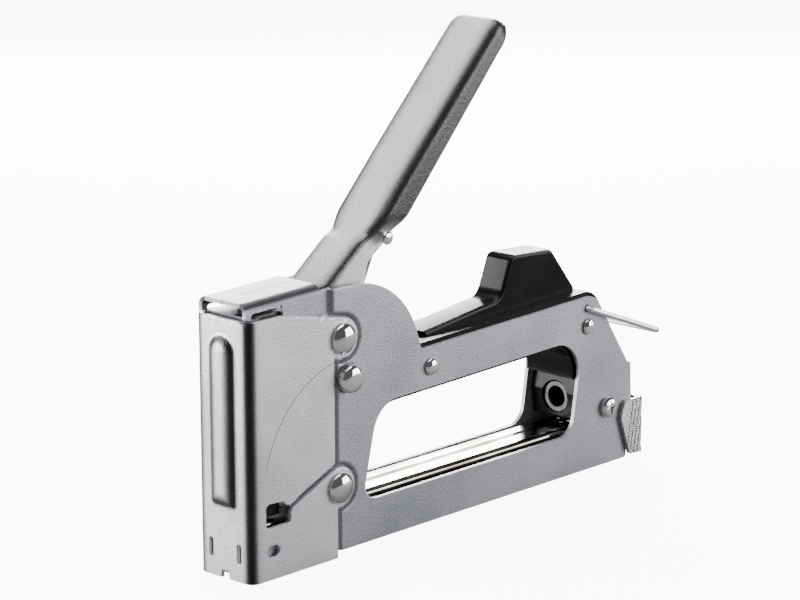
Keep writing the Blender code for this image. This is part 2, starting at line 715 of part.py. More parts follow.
def make_plunger():
    """Hammer block with a slot at its back that the lever's tip lifts."""
    rear = PLUNGER_FRONT + PLUNGER_DEPTH
    room = TIP_RADIUS + TIP_FREE
    low = (PLUNGER_FRONT, -MAG_HALF, BUMPER_HIGH + GAP)
    block = box("plunger", low, (rear, MAG_HALF, TIP_Z + PLUNGER_RISE))
    slot = box("slot", (PLUNGER_FRONT + 4.6, -LEVER_HALF - 0.6, TIP_Z - room),
               (rear + 5, LEVER_HALF + 0.6, TIP_Z + room))
    return cut(block, slot)


def make_blade():
    """Driver blade that runs down the nose in front of the plunger."""
    high = (BLADE_FRONT + BLADE, BLADE_HALF, TIP_Z + PLUNGER_RISE - 1.4)
    return box("driver_blade", (BLADE_FRONT, -BLADE_HALF, 1.0), high)


def make_main_spring():
    low = TIP_Z + PLUNGER_RISE + GAP
    high = TOP_Z - 5.9 - GAP
    return coil("main_spring", 2, (SPRING_X, 0), SPRING_RADIUS, SPRING_WIRE, 5.0, low, high, 8)


def make_spring_seat():
    """Plate above the spring, with an ear through each side slot."""
    low = TOP_Z - 5.9
    seat = box("spring_seat", (PLUNGER_FRONT, -FRONT_IN + GAP, low), (18.0, FRONT_IN - GAP, low + 1.6))
    ears = box("ears", (2.6, -FRONT_OUT, low), (5.2, FRONT_OUT, low + 1.6))
    return join(seat, ears)


def make_bumper():
    """Rubber block that stops the plunger above the magazine."""
    low = (PLUNGER_FRONT + 2.6, -MAG_HALF, BUMPER_LOW)
    return box("plunger_bumper", low, (PLUNGER_FRONT + 11, MAG_HALF, BUMPER_HIGH))


def make_nose_guide():
    """Hard plate behind the blade, above the magazine's mouth."""
    low = (PLUNGER_FRONT, -FRONT_IN + GAP, MAG_TOP + GAP)
    return box("nose_guide", low, (PLUNGER_FRONT + 1.6, FRONT_IN - GAP, BUMPER_HIGH))


# ---------------------------------------------------------------- magazine

def make_housing():
    """Bright channel over the staples, with a shallow groove along its top."""
    rear = REAR_X - 6.0
    bend = 1.6
    outer = rounded([(-MAG_HALF, MAG_FLOOR, 0), (MAG_HALF, MAG_FLOOR, 0),
                     (MAG_HALF, MAG_TOP, bend), (-MAG_HALF, MAG_TOP, bend)])
    inner_half = MAG_HALF - MAG_WALL
    inner_top = MAG_TOP - MAG_WALL - 0.5
    inside = rounded([(-inner_half, MAG_FLOOR - 5, 0), (inner_half, MAG_FLOOR - 5, 0),
                      (inner_half, inner_top, 0.8), (-inner_half, inner_top, 0.8)])
    housing = prism("magazine_housing", outer, 0, MAG_FRONT, rear)
    groove = box("groove", (MAG_FRONT + 16, -1.6, MAG_TOP - 0.5), (rear + 5, 1.6, MAG_TOP + 3))
    return cut(housing, prism("inside", inside, 0, -5, rear + 5), groove)


def make_track():
    """Channel, open at the top, that the staples ride on."""
    rear = REAR_X - 6.0
    outline = [(-TRACK_HALF, MAG_FLOOR), (TRACK_HALF, MAG_FLOOR), (TRACK_HALF, TRACK_TOP),
               (TRACK_HALF - TRACK_WALL, TRACK_TOP), (TRACK_HALF - TRACK_WALL, MAG_FLOOR + TRACK_WALL),
               (TRACK_WALL - TRACK_HALF, MAG_FLOOR + TRACK_WALL), (TRACK_WALL - TRACK_HALF, TRACK_TOP),
               (-TRACK_HALF, TRACK_TOP)]
    return prism("staple_track", outline, 0, MAG_FRONT, rear)


def saddle(name, low, high, leg):
    """Staple-shaped strip that straddles the track."""
    half = STAPLE_CROWN / 2
    wire = half - TRACK_HALF - GAP
    top = TRACK_TOP + GAP + STAPLE_WIRE
    outline = [(-half, top - leg), (wire - half, top - leg), (wire - half, top - STAPLE_WIRE),
               (half - wire, top - STAPLE_WIRE), (half - wire, top - leg), (half, top - leg),
               (half, top), (-half, top)]
    return prism(name, outline, 0, low, high)


def pusher_front():
    return MAG_FRONT + STAPLE_STICK + GAP


def make_pusher():
    """Follower behind the staples: a saddle with a lug that slides on the rod."""
    front = pusher_front()
    body = saddle("pusher", front, front + 9, STAPLE_LEG)
    half = TRACK_HALF - TRACK_WALL - GAP
    lug = box("lug", (front, -half, ROD_Z - 2.4), (front + 9, half, TRACK_TOP + GAP + STAPLE_WIRE * 0.5))
    body = join(body, lug)
    radius = ROD_RADIUS + RUNNING
    return cut(body, turned("bore", 0, (0, ROD_Z), [(0, radius), (REAR_X, radius)], 16))


def make_rod():
    """Rod from the cap through the follower, with a stop head at its front."""
    front = pusher_front()
    steps = [(front - 3.5, ROD_HEAD), (front - 2.0, ROD_HEAD), (front - 2.0, ROD_RADIUS),
             (CAP_WALL_X - GAP, ROD_RADIUS)]
    return turned("pusher_rod", 0, (0, ROD_Z), steps, 16)


def make_pusher_spring():
    low = pusher_front() + 9 + GAP
    return coil("pusher_spring", 0, (0, ROD_Z), ROD_RADIUS + 0.75, 0.3, 16.0, low, CAP_WALL_X - 2 * GAP, 5)


def make_cap():
    """Magazine cap: rear wall and two grooved tabs outside the plates."""
    rear = CAP_WALL_X + SHEET
    wall = box("magazine_cap", (CAP_WALL_X, -CAP_HALF, 2.7), (rear, CAP_HALF, 20.2))
    tab = rounded([(REAR_X - 1.9, 3.0, 0.8), (rear, 2.7, 0), (rear, 20.2, 0),
                   (REAR_X - 4.4, 20.2, 2.5), (REAR_X - 6.2, 15.2, 1)])
    tabs = [prism("tab", tab, 1, s * (CAP_HALF - SHEET), s * CAP_HALF) for s in (-1, 1)]
    cap = join(wall, *tabs)
    grooves = []
    for i in range(5):
        x = REAR_X - 4.5 + i * 1.7
        grooves += [prism("groove", [(x, 0), (x + 0.5, 0), (x + 4.5, 22), (x + 4.0, 22)], 1,
                          s * (CAP_HALF - 0.2), s * (CAP_HALF + 2)) for s in (-1, 1)]
    return cut(cap, *grooves)


def make_cap_spring():
    """Leaf fixed to the cap that snaps in above the magazine."""
    high = MAG_TOP + 0.9
    leaf = [(REAR_X - 18, MAG_TOP + GAP), (REAR_X - 16, MAG_TOP + GAP), (REAR_X - 14, MAG_TOP + 0.5),
            (CAP_WALL_X - GAP, MAG_TOP + 0.5), (CAP_WALL_X - GAP, high), (REAR_X - 14.2, high),
            (REAR_X - 16.2, high - 0.2), (REAR_X - 18, high - 0.2)]
    return prism("cap_spring", leaf, 1, -3.5, 3.5)


# ---------------------------------------------------------------- rear

def insert_outline():
    """Grip insert in side view, before the finger hole is cut from it."""
    corner = REAR_X - 17.5
    slope_foot = REAR_X - 0.8
    front = grown(finger_hole(), 1.6)
    strip = [p for p in front if p[0] < 64.0 and PART_LINE < p[1] < HOLE_TOP + 3]
    strip.sort(key=lambda p: (p[1], p[0]))
    lean = HOLE_FRONT + (PART_LINE - HOLE_FLOOR) * HOLE_LEAN
    lift = INSERT_PROUD
    rear = rounded([(64.5, HOLE_TOP + 1.6, 0), (64.5, BAR_TOP + lift - 3, 0),
                    (67.5, bar_line(67.5) + lift, 2), (corner + 0.8, bar_line(corner) + lift, 7),
                    (slope_foot, PART_LINE + 0.7, 0.6),
                    (slope_foot - 2, PART_LINE, 0), (lean - 1.4, PART_LINE, 0)])
    return rear + strip


def make_insert():
    """Moulded insert between the plates: lines the finger hole, caps the bar and carries the stop fin."""
    half = REAR_IN - GAP
    insert = prism("grip_insert", insert_outline(), 1, -half, half)
    lined = grown(finger_hole(), -1.2)
    insert = cut(insert, prism("hole", lined, 1, -20, 20))
    low = BAR_TOP - 5.0
    fin = rounded([(74.0, low, 0), (REAR_X - 20.5, low, 0), (REAR_X - 20.5, bar_line(139) + 2.2, 2),
                   (REAR_X - 31.0, BAR_TOP + 17.6, 3), (FIN_FRONT, BAR_TOP + 18.6, 2.5),
                   (FIN_FRONT - 5.0, bar_line(106) + 5.0, 5), (98.0, bar_line(98) + 4.6, 0),
                   (74.0, BAR_TOP + 2.6, 0)])
    fin_solid = pillowed("fin", lambda inset: grown(fin, -inset), FIN_HALF, 1.2, 2)
    insert = join(insert, fin_solid)
    holes = [round_hole(c, SMALL_RIVET + GAP, -20, 20) for c in (FRONT_BODY_RIVET, BACK_RIVET)]
    return cut(insert, *holes)


def make_latch_block():
    """Moulded block behind the finger hole, over the magazine's end."""
    front = REAR_X - 23.6
    outline = rounded([(front + 0.6, LATCH_LOW, 1), (REAR_X - 4.0, LATCH_LOW, 1),
                       (REAR_X - 2.6, LATCH_HIGH, 1), (front + 1.2, LATCH_HIGH, 1.5),
                       (front, LATCH_BORE_Z + 1.8, 2)])
    half = REAR_IN - GAP
    block = prism("latch_block", outline, 1, -half, half)
    radius = SLEEVE_RADIUS + GAP
    bore = turned("bore", 0, (0, LATCH_BORE_Z), [(front - 5, radius), (front + 8, radius)])
    return cut(block, bore, round_hole(SCREW, SCREW_RADIUS + GAP, -20, 20))


def make_latch_sleeve():
    """Bright sleeve in the front of the latch block."""
    front = REAR_X - 22.6
    centre = (0, LATCH_BORE_Z)
    return tube("latch_sleeve", 0, centre, front, front + 6.6, SLEEVE_RADIUS, SLEEVE_RADIUS - 1.3)


def make_bail():
    """Wire bail: two legs outside the plates, joined behind, its ends turned into their holes."""
    drop = math.radians(BAIL_DROP_DEG)
    side = BODY_HALF + GAP + BAIL_WIRE
    along = np.array((math.cos(drop), -math.sin(drop)))
    bend = 2.5

    def at(s, y):
        return (BAIL_X + along[0] * s, y, BAIL_Z + along[1] * s)

    path = [at(0, -REAR_IN - 0.2), at(0, -side + 1.0), at(0.3, -side + 0.3), at(1.0, -side)]
    corner = [at(BAIL_REACH - bend + bend * math.sin(a), -side + bend - bend * math.cos(a))
              for a in np.radians(np.arange(0, 91, 22.5))]
    path += [at(BAIL_REACH / 2, -side)] + corner
    path += [(x, -y, z) for x, y, z in reversed(path)]
    return sweep("locking_bail", path, BAIL_WIRE)


# ---------------------------------------------------------------- assembly

def build():
    for obj in list(bpy.data.objects):
        bpy.data.objects.remove(obj)
    painted = material("silver_hammertone", (0.52, 0.54, 0.57), 0.45, 0.8)
    cover_paint = material("silver_cover", (0.56, 0.58, 0.62), 0.42, 0.8)
    handle_paint = material("silver_handle", (0.42, 0.44, 0.46), 0.45, 0.8)
    chrome = material("chrome", (0.8, 0.8, 0.8), 0.08, 1.0)
    steel = material("bright_steel", (0.62, 0.62, 0.62), 0.3, 1.0)
    dark_steel = material("dark_steel", (0.2, 0.2, 0.21), 0.4, 1.0)
    spring_steel = material("spring_steel", (0.45, 0.44, 0.42), 0.3, 1.0)
    black = material("black_moulding", (0.015, 0.015, 0.016), 0.25, 0.0)
    rubber = material("bumper_rubber", (0.03, 0.03, 0.03), 0.8, 0.0)

    root = joint_empty("root", None, 0, 0)
    root.location = (-ORIGIN_X * MM, 0, 0)
    handle = joint_empty("handle_squeeze", root, PIVOT_X, PIVOT_Z)
    hammer = joint_empty("plunger_lift", root, SPRING_X, TIP_Z)
    magazine = joint_empty("magazine_pull", root, CAP_WALL_X, ROD_Z)
    follower = joint_empty("pusher_slide", magazine, pusher_front(), ROD_Z)
    bail = joint_empty("bail_swing", root, BAIL_X, BAIL_Z)

    left = make_plate()
    right = mirrored("body_plate_right", left)
    staples = saddle("staple_strip", MAG_FRONT + 0.1, MAG_FRONT + STAPLE_STICK, STAPLE_LEG)
    fixed = [(left, painted), (right, painted), (make_cover(), cover_paint), (make_insert(), black),
             (make_latch_block(), black), (make_latch_sleeve(), chrome), (make_screw(), chrome),
             (make_nut(), chrome), (make_pivot_pin(), chrome), (make_spring_seat(), steel),
             (make_bumper(), rubber), (make_nose_guide(), steel), (make_housing(), chrome),
             (make_track(), steel), (staples, steel), (make_main_spring(), spring_steel)]
    fixed += [(rivet, chrome) for rivet in make_rivets()]
    fixed += [(washer, steel) for washer in make_washers()]
    for obj, finish in fixed:
        place(obj, finish, root)
    for obj, finish in [(make_handle_shell(), handle_paint), (make_lever(), dark_steel),
                        (make_handle_rivet(), chrome), (make_return_spring(), spring_steel)]:
        place(obj, finish, handle)
    for obj, finish in [(make_plunger(), dark_steel), (make_blade(), steel)]:
        place(obj, finish, hammer)
    for obj, finish in [(make_cap(), steel), (make_rod(), steel), (make_cap_spring(), spring_steel),
                        (make_pusher_spring(), spring_steel)]:
        place(obj, finish, magazine)
    place(make_pusher(), dark_steel, follower)
    place(make_bail(), steel, bail)


build()
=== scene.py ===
# %% [markdown]
# # A hand staple gun
# The tool is a pressed steel body with a squeeze handle, a black moulded grip insert and a bright
# staple magazine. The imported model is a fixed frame: its nodes are never moved. Each cell below
# makes one piece or one finish that stands in the frame, first the sheet metal, then the handle and
# the moulding, then the small bright parts, and last the studio.

# %% Load the frame
import math

import bmesh
import bpy
import numpy as np
from mathutils import Matrix, Vector, geometry


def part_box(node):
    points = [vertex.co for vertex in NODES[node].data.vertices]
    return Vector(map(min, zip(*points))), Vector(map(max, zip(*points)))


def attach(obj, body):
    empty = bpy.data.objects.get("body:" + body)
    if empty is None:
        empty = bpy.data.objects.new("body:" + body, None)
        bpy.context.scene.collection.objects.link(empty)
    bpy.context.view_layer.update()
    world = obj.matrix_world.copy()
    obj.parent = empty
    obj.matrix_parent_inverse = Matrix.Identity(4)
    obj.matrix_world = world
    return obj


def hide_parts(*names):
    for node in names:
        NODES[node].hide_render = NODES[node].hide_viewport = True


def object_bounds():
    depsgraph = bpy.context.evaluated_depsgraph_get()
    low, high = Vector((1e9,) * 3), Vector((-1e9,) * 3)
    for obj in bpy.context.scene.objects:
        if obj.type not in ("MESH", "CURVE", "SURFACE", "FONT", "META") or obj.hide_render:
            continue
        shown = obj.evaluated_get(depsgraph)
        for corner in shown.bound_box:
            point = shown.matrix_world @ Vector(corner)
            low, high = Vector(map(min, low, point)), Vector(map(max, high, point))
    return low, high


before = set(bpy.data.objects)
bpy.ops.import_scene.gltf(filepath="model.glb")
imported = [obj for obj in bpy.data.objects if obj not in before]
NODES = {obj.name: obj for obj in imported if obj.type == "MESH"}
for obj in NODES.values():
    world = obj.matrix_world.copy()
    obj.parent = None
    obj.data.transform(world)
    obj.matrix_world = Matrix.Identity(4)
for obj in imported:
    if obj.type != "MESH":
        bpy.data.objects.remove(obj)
cad_low, cad_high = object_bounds()
print("frame:", len(NODES), "nodes, box", [round(1000 * side, 1) for side in cad_high - cad_low], "mm")

# %% [markdown]
# ## Lengths
# Shapes are worked out in millimetres, with x counted from the front of the nose and z from its
# foot. The front rib stands proud of the nose, so the frame's own box says where x is nought.

# %% Driving dimensions
MM = 0.001
RIB_RISE = 1.7
NOSE_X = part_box("nose_cover")[0].x / MM + RIB_RISE
SHEET = 1.2
GAP = 0.3
HALF = 10.5
FRONT_HALF = 9.0
NOSE_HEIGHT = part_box("nose_cover")[1].z / MM
TOP_Z = NOSE_HEIGHT + 4.9
BODY_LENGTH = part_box("body_plate_left")[1].x / MM - NOSE_X
BAR_TOP = NOSE_HEIGHT - 19.3
BAR_RISE = math.tan(math.radians(1.75))
PIVOT = (37.0, NOSE_HEIGHT - 21.8)
UPPER_RIVET = (35.2, NOSE_HEIGHT - 10.3)
LOWER_RIVET = (33.6, 20.2)
FRONT_BODY_RIVET = (70.3, BAR_TOP - 5.7)
REAR_BODY_RIVET = (BODY_LENGTH - 20.8, BAR_TOP - 6.8)
BAIL = (BODY_LENGTH - 21.3, BAR_TOP - 1.2)
SCREW = (BODY_LENGTH - 11.7, 19.7)
print("nose at", round(NOSE_X, 2), "body length", round(BODY_LENGTH, 1), "height", round(NOSE_HEIGHT, 1))


# %% [markdown]
# ## Finishes
# Every finish is a node network on object coordinates, so it needs no pictures and stays put when a
# joint moves. Three effects come back in several finishes: the fine pebble of stoved paint, the lines
# that a grinding belt leaves, and the patchy film of handling. Each is a node group, made once.

# %% Helpers for shader nodes
def wire(tree, kind, inputs, **settings):
    """Add a node, set its options, and connect or fill each input."""
    node = tree.nodes.new(kind)
    for key, value in settings.items():
        setattr(node, key, value)
    for key, value in inputs.items():
        if isinstance(value, bpy.types.NodeSocket):
            tree.links.new(value, node.inputs[key])
        else:
            node.inputs[key].default_value = value
    return node


def new_group(name, inputs, outputs):
    """Empty shader group with named float inputs and outputs; returns the tree, its inputs and its end."""
    tree = bpy.data.node_groups.new(name, "ShaderNodeTree")
    for label, value in inputs.items():
        tree.interface.new_socket(label, in_out="INPUT", socket_type="NodeSocketFloat").default_value = value
    for label in outputs:
        tree.interface.new_socket(label, in_out="OUTPUT", socket_type="NodeSocketFloat")
    start = tree.nodes.new("NodeGroupInput")
    end = tree.nodes.new("NodeGroupOutput")
    return tree, start.outputs, end.inputs


def spread(tree, value, low, high, new_low, new_high):
    """Map a value from one range to another and clamp it."""
    return wire(tree, "ShaderNodeMapRange", {"Value": value, "From Min": low, "From Max": high,
                                             "To Min": new_low, "To Max": new_high}).outputs["Result"]


def blend_colour(tree, factor, first, second):
    """Mix two colours by a factor."""
    node = wire(tree, "ShaderNodeMix", {0: factor, 6: first, 7: second}, data_type="RGBA")
    return node.outputs[2]


def sum_of(tree, first, second, operation="ADD"):
    return wire(tree, "ShaderNodeMath", {0: first, 1: second}, operation=operation).outputs[0]


# %% Shared effects
def pebble_group():
    """Stoved paint: two sizes of soft bumps added together, the small ones 2.6 times finer."""
    tree, start, end = new_group("pebble", {"Scale": 1900.0}, ("Height", "Tone"))
    place = wire(tree, "ShaderNodeTexCoord", {}).outputs["Object"]
    broad = wire(tree, "ShaderNodeTexNoise", {"Vector": place, "Scale": start["Scale"], "Detail": 2.0,
                                              "Roughness": 0.45}).outputs[0]
    finer = sum_of(tree, start["Scale"], 2.6, "MULTIPLY")
    small = wire(tree, "ShaderNodeTexVoronoi", {"Vector": place, "Scale": finer},
                 feature="SMOOTH_F1").outputs["Distance"]
    slow = wire(tree, "ShaderNodeTexNoise", {"Vector": place, "Scale": 42.0, "Detail": 3.0}).outputs[0]
    height = sum_of(tree, broad, sum_of(tree, small, 0.35, "MULTIPLY"))
    tree.links.new(height, end["Height"])
    tree.links.new(sum_of(tree, sum_of(tree, broad, 0.6, "MULTIPLY"), sum_of(tree, slow, 0.4, "MULTIPLY")),
                   end["Tone"])
    return tree


def belt_group():
    """Ground steel: noise drawn out along x, so it shows as fine lines."""
    tree, start, end = new_group("belt_lines", {"Scale": 900.0, "Stretch": 0.02}, ("Height", "Tone"))
    place = wire(tree, "ShaderNodeTexCoord", {}).outputs["Object"]
    parts = wire(tree, "ShaderNodeSeparateXYZ", {0: place}).outputs
    along = sum_of(tree, parts["X"], start["Stretch"], "MULTIPLY")
    drawn = wire(tree, "ShaderNodeCombineXYZ", {0: along, 1: parts["Y"], 2: parts["Z"]}).outputs[0]
    lines = wire(tree, "ShaderNodeTexNoise", {"Vector": drawn, "Scale": start["Scale"],
                                              "Detail": 3.0}).outputs[0]
    slow = wire(tree, "ShaderNodeTexNoise", {"Vector": place, "Scale": 60.0, "Detail": 2.0}).outputs[0]
    tree.links.new(lines, end["Height"])
    tree.links.new(sum_of(tree, lines, slow, "MULTIPLY"), end["Tone"])
    return tree


def film_group():
    """Handling film: slow patches, and small specks."""
    tree, start, end = new_group("film", {"Scale": 90.0}, ("Patch", "Speck"))
    place = wire(tree, "ShaderNodeTexCoord", {}).outputs["Object"]
    patch = wire(tree, "ShaderNodeTexNoise", {"Vector": place, "Scale": start["Scale"], "Detail": 5.0,
                                              "Roughness": 0.6}).outputs[0]
    specks = wire(tree, "ShaderNodeTexNoise", {"Vector": place, "Scale": 2600.0, "Detail": 1.0}).outputs[0]
    tree.links.new(spread(tree, patch, 0.35, 0.7, 0.0, 1.0), end["Patch"])
    tree.links.new(spread(tree, specks, 0.62, 0.75, 0.0, 1.0), end["Speck"])
    return tree


PEBBLE = pebble_group()
BELT = belt_group()
FILM = film_group()
print("effects:", PEBBLE.name, BELT.name, FILM.name)


# %% A finish from a pattern
def new_finish(name, roughness, metallic, **fixed):
    """Material with a Principled shader; fixed holds sockets that are the same all over."""
    made = bpy.data.materials.new(name)
    made.use_nodes = True
    shader = made.node_tree.nodes["Principled BSDF"]
    shader.inputs["Roughness"].default_value = roughness
    shader.inputs["Metallic"].default_value = metallic
    for key, value in fixed.items():
        shader.inputs[key.replace("_", " ")].default_value = value
    return made, made.node_tree, shader.inputs


def effect(tree, group, **values):
    node = tree.nodes.new("ShaderNodeGroup")
    node.node_tree = group
    for key, value in values.items():
        node.inputs[key].default_value = value
    return node.outputs


def raise_bumps(tree, shader, height, distance, strength=1.0):
    """Send a height, in metres for one, to the shader's normal."""
    bump = wire(tree, "ShaderNodeBump", {"Height": height, "Distance": distance, "Strength": strength})
    tree.links.new(bump.outputs[0], shader["Normal"])


# %% [markdown]
# ## Stoved silver paint
# The plates, the cover and the handle have one kind of paint, a grey with aluminium flake under
# a clear skin. Its bumps are about half a millimetre apart. Painted shade darkens tight bends and
# other places that each sheet marks in a vertex attribute, where the paint is also made smoother.

# %% Paint
def paint(name, light, dark, painted_shade_colour, roughness, line=None):
    """Silver paint whose tone follows its pebble, with painted shade where the sheet's attribute marks it.
    """
    made, tree, shader = new_finish(name, roughness, 0.55)
    grain = effect(tree, PEBBLE)
    film = effect(tree, FILM)
    tone = spread(tree, grain["Tone"], 0.4, 0.6, 0.0, 1.0)
    colour = blend_colour(tree, tone, dark, light)
    # Painted shade: the attribute darkens the colour towards the shade colour and lowers the roughness.
    painted_shade = wire(tree, "ShaderNodeAttribute", {}, attribute_name="painted_shade").outputs["Fac"]
    colour = blend_colour(tree, painted_shade, colour, painted_shade_colour)
    height = sum_of(tree, grain["Height"], sum_of(tree, film["Patch"], 0.1, "MULTIPLY"))
    if line:
        colour, height = scribed(tree, colour, height, *line)
    tree.links.new(colour, shader["Base Color"])
    rough = sum_of(tree, spread(tree, film["Patch"], 0.0, 1.0, roughness - 0.03, roughness + 0.05),
                   sum_of(tree, painted_shade, 0.16, "MULTIPLY"), "SUBTRACT")
    tree.links.new(rough, shader["Roughness"])
    raise_bumps(tree, shader, height, 0.00009)
    return made


def scribed(tree, colour, height, centre, radius, low, high):
    """Fine arc scratched in the paint: a ring of one radius round a centre, kept between two heights."""
    place = wire(tree, "ShaderNodeTexCoord", {}).outputs["Object"]
    parts = wire(tree, "ShaderNodeSeparateXYZ", {0: place}).outputs
    flat = wire(tree, "ShaderNodeCombineXYZ", {0: parts["X"], 1: 0.0, 2: parts["Z"]}).outputs[0]
    middle = ((NOSE_X + centre[0]) * MM, 0.0, centre[1] * MM)
    away = wire(tree, "ShaderNodeVectorMath", {0: flat, 1: middle}, operation="DISTANCE").outputs["Value"]
    off = wire(tree, "ShaderNodeMath", {0: away, 1: radius * MM}, operation="SUBTRACT").outputs[0]
    off = wire(tree, "ShaderNodeMath", {0: off}, operation="ABSOLUTE").outputs[0]
    mark = spread(tree, off, 0.00006, 0.00014, 1.0, 0.0)
    above = spread(tree, parts["Z"], low * MM, (low + 6.0) * MM, 0.0, 1.0)
    below = spread(tree, parts["Z"], high * MM, (high + 1.5) * MM, 1.0, 0.0)
    front = spread(tree, parts["X"], (NOSE_X + 3.0) * MM, (NOSE_X + 5.0) * MM, 0.0, 1.0)
    kept = sum_of(tree, above, sum_of(tree, below, front, "MULTIPLY"), "MULTIPLY")
    mark = sum_of(tree, mark, kept, "MULTIPLY")
    colour = blend_colour(tree, mark, colour, (0.05, 0.05, 0.055, 1.0))
    return colour, sum_of(tree, height, sum_of(tree, mark, 0.8, "MULTIPLY"), "SUBTRACT")


def circle_through(a, b, c):
    """Centre and radius of the circle through three points, from the two perpendicular bisectors."""
    rows = 2 * np.array([(b[0] - a[0], b[1] - a[1]), (c[0] - a[0], c[1] - a[1])])
    right = np.array([b[0]**2 - a[0]**2 + b[1]**2 - a[1]**2, c[0]**2 - a[0]**2 + c[1]**2 - a[1]**2])
    centre = np.linalg.solve(rows, right)
    return tuple(centre), float(np.hypot(*(centre - np.array(a))))


ARC_CENTRE, ARC_RADIUS = circle_through((33.0, 56.2), (15.1, 47.2), (6.1, 32.1))
# The third colour of each paint is its painted shade.
PLATE_PAINT = paint("plate_paint", (0.5, 0.515, 0.55, 1), (0.33, 0.342, 0.372, 1),
                    (0.05, 0.05, 0.055, 1), 0.42)
COVER_PAINT = paint("cover_paint", (0.88, 0.895, 0.93, 1), (0.64, 0.652, 0.69, 1),
                    (0.02, 0.02, 0.022, 1), 0.4, (ARC_CENTRE, ARC_RADIUS, 28.0, 56.5))
HANDLE_PAINT = paint("handle_paint", (0.8, 0.815, 0.82, 1), (0.58, 0.592, 0.6, 1),
                     (0.03, 0.032, 0.033, 1), 0.42)
print("scribed arc: centre", [round(c, 1) for c in ARC_CENTRE], "radius", round(ARC_RADIUS, 1))


# %% [markdown]
# ## Bright and dark metals
# Rivets and the pin are polished nickel, almost a mirror. Housing and rod are ground steel, and the cap
# is finely knurled. Springs and the plunger are darker steel. The lines of each ground metal come from
# the belt group with its own scale, and the knurl is two crossed sine waves with painted shade in its
# grooves.

# %% Metals
def metal(name, light, dark, roughness, scale=900.0, stretch=0.02, depth=0.000004):
    """Ground metal: its tone and bumps follow the belt lines, its roughness the handling film."""
    made, tree, shader = new_finish(name, roughness, 1.0)
    lines = effect(tree, BELT, Scale=scale, Stretch=stretch)
    film = effect(tree, FILM)
    colour = blend_colour(tree, spread(tree, lines["Tone"], 0.15, 0.4, 0.0, 1.0), dark, light)
    tree.links.new(colour, shader["Base Color"])
    rough = sum_of(tree, spread(tree, film["Patch"], 0.0, 1.0, roughness * 0.85, roughness * 1.3),
                   sum_of(tree, film["Speck"], 0.06, "MULTIPLY"))
    tree.links.new(rough, shader["Roughness"])
    raise_bumps(tree, shader, lines["Height"], depth)
    return made


KNURL_TURNS = 5200.0


def knurled(name, colour, groove_shade):
    """Fine crossed grooves: the product of two sine waves that run up and down at forty-five degrees, the
    grooves painted darker as shade.
    """
    made, tree, shader = new_finish(name, 0.24, 1.0)
    place = wire(tree, "ShaderNodeTexCoord", {}).outputs["Object"]
    parts = wire(tree, "ShaderNodeSeparateXYZ", {0: place}).outputs
    waves = []
    for operation in ("ADD", "SUBTRACT"):
        along = sum_of(tree, parts["X"], parts["Z"], operation)
        turn = sum_of(tree, along, KNURL_TURNS, "MULTIPLY")
        waves.append(wire(tree, "ShaderNodeMath", {0: turn}, operation="SINE").outputs[0])
    height = sum_of(tree, *waves, "MULTIPLY")
    film = effect(tree, FILM)
    height = sum_of(tree, height, sum_of(tree, film["Patch"], 0.2, "MULTIPLY"))
    # Painted shade: the colour goes from the crest colour to a dark shade colour down in the grooves.
    share = spread(tree, height, -0.7, 0.7, 0.0, 1.0)
    tree.links.new(blend_colour(tree, share, groove_shade, colour), shader["Base Color"])
    raise_bumps(tree, shader, height, 0.00004)
    return made


NICKEL = metal("nickel", (0.92, 0.91, 0.9, 1), (0.82, 0.81, 0.8, 1), 0.07, 1400.0, 1.0, 0.000001)
HOUSING_STEEL = metal("housing_steel", (0.8, 0.76, 0.69, 1), (0.16, 0.135, 0.11, 1),
                      0.1, 380.0, 0.004, 0.000002)
BRIGHT_STEEL = metal("bright_steel", (0.78, 0.78, 0.79, 1), (0.6, 0.6, 0.61, 1), 0.28)
DARK_STEEL = metal("dark_steel", (0.2, 0.2, 0.21, 1), (0.11, 0.11, 0.12, 1), 0.38, 500.0, 0.1, 0.00001)
SPRING_STEEL = metal("spring_steel", (0.45, 0.44, 0.43, 1), (0.3, 0.29, 0.28, 1), 0.26, 1200.0, 1.0)
STAPLE_WIRE = metal("staple_wire", (0.74, 0.74, 0.72, 1), (0.5, 0.5, 0.48, 1), 0.24, 1000.0, 40.0, 0.00003)
KNURLED_STEEL = knurled("knurled_steel", (0.86, 0.86, 0.87, 1), (0.4, 0.4, 0.41, 1))
METALS = (NICKEL, KNURLED_STEEL, HOUSING_STEEL, BRIGHT_STEEL, DARK_STEEL, SPRING_STEEL, STAPLE_WIRE)
print("metals:", [finish.name for finish in METALS])


# %% [markdown]
# ## Black moulding and rubber
# The insert is a glossy black moulding. A fine orange peel breaks its reflections, and fingers leave
# it a little duller in patches. The bumper is dull rubber.

# %% Mouldings
def moulding(name, colour, worn, roughness, depth, coat):
    made, tree, shader = new_finish(name, roughness, 0.0, Coat_Weight=coat, Coat_Roughness=0.12,
                                    Specular_IOR_Level=0.12)
    grain = effect(tree, PEBBLE, Scale=650.0)
    film = effect(tree, FILM, Scale=70.0)
    tree.links.new(blend_colour(tree, film["Patch"], colour, worn), shader["Base Color"])
    rough = sum_of(tree, spread(tree, film["Patch"], 0.0, 1.0, roughness, roughness + 0.12),
                   sum_of(tree, film["Speck"], 0.08, "MULTIPLY"))
    tree.links.new(rough, shader["Roughness"])
    raise_bumps(tree, shader, grain["Height"], depth)
    return made


BLACK = moulding("black_moulding", (0.003, 0.003, 0.0035, 1), (0.006, 0.006, 0.0065, 1), 0.2, 0.00001, 0.0)
RUBBER = moulding("bumper_rubber", (0.02, 0.02, 0.02, 1), (0.035, 0.033, 0.032, 1), 0.7, 0.00005, 0.0)
print("mouldings:", BLACK.name, RUBBER.name)


# %% [markdown]
# ## Outlines
# A pressed part starts as a flat outline. An outline here is an array of points in side view, with
# its corners turned into arcs and its long sides divided, so that a mesh laid inside it is even.

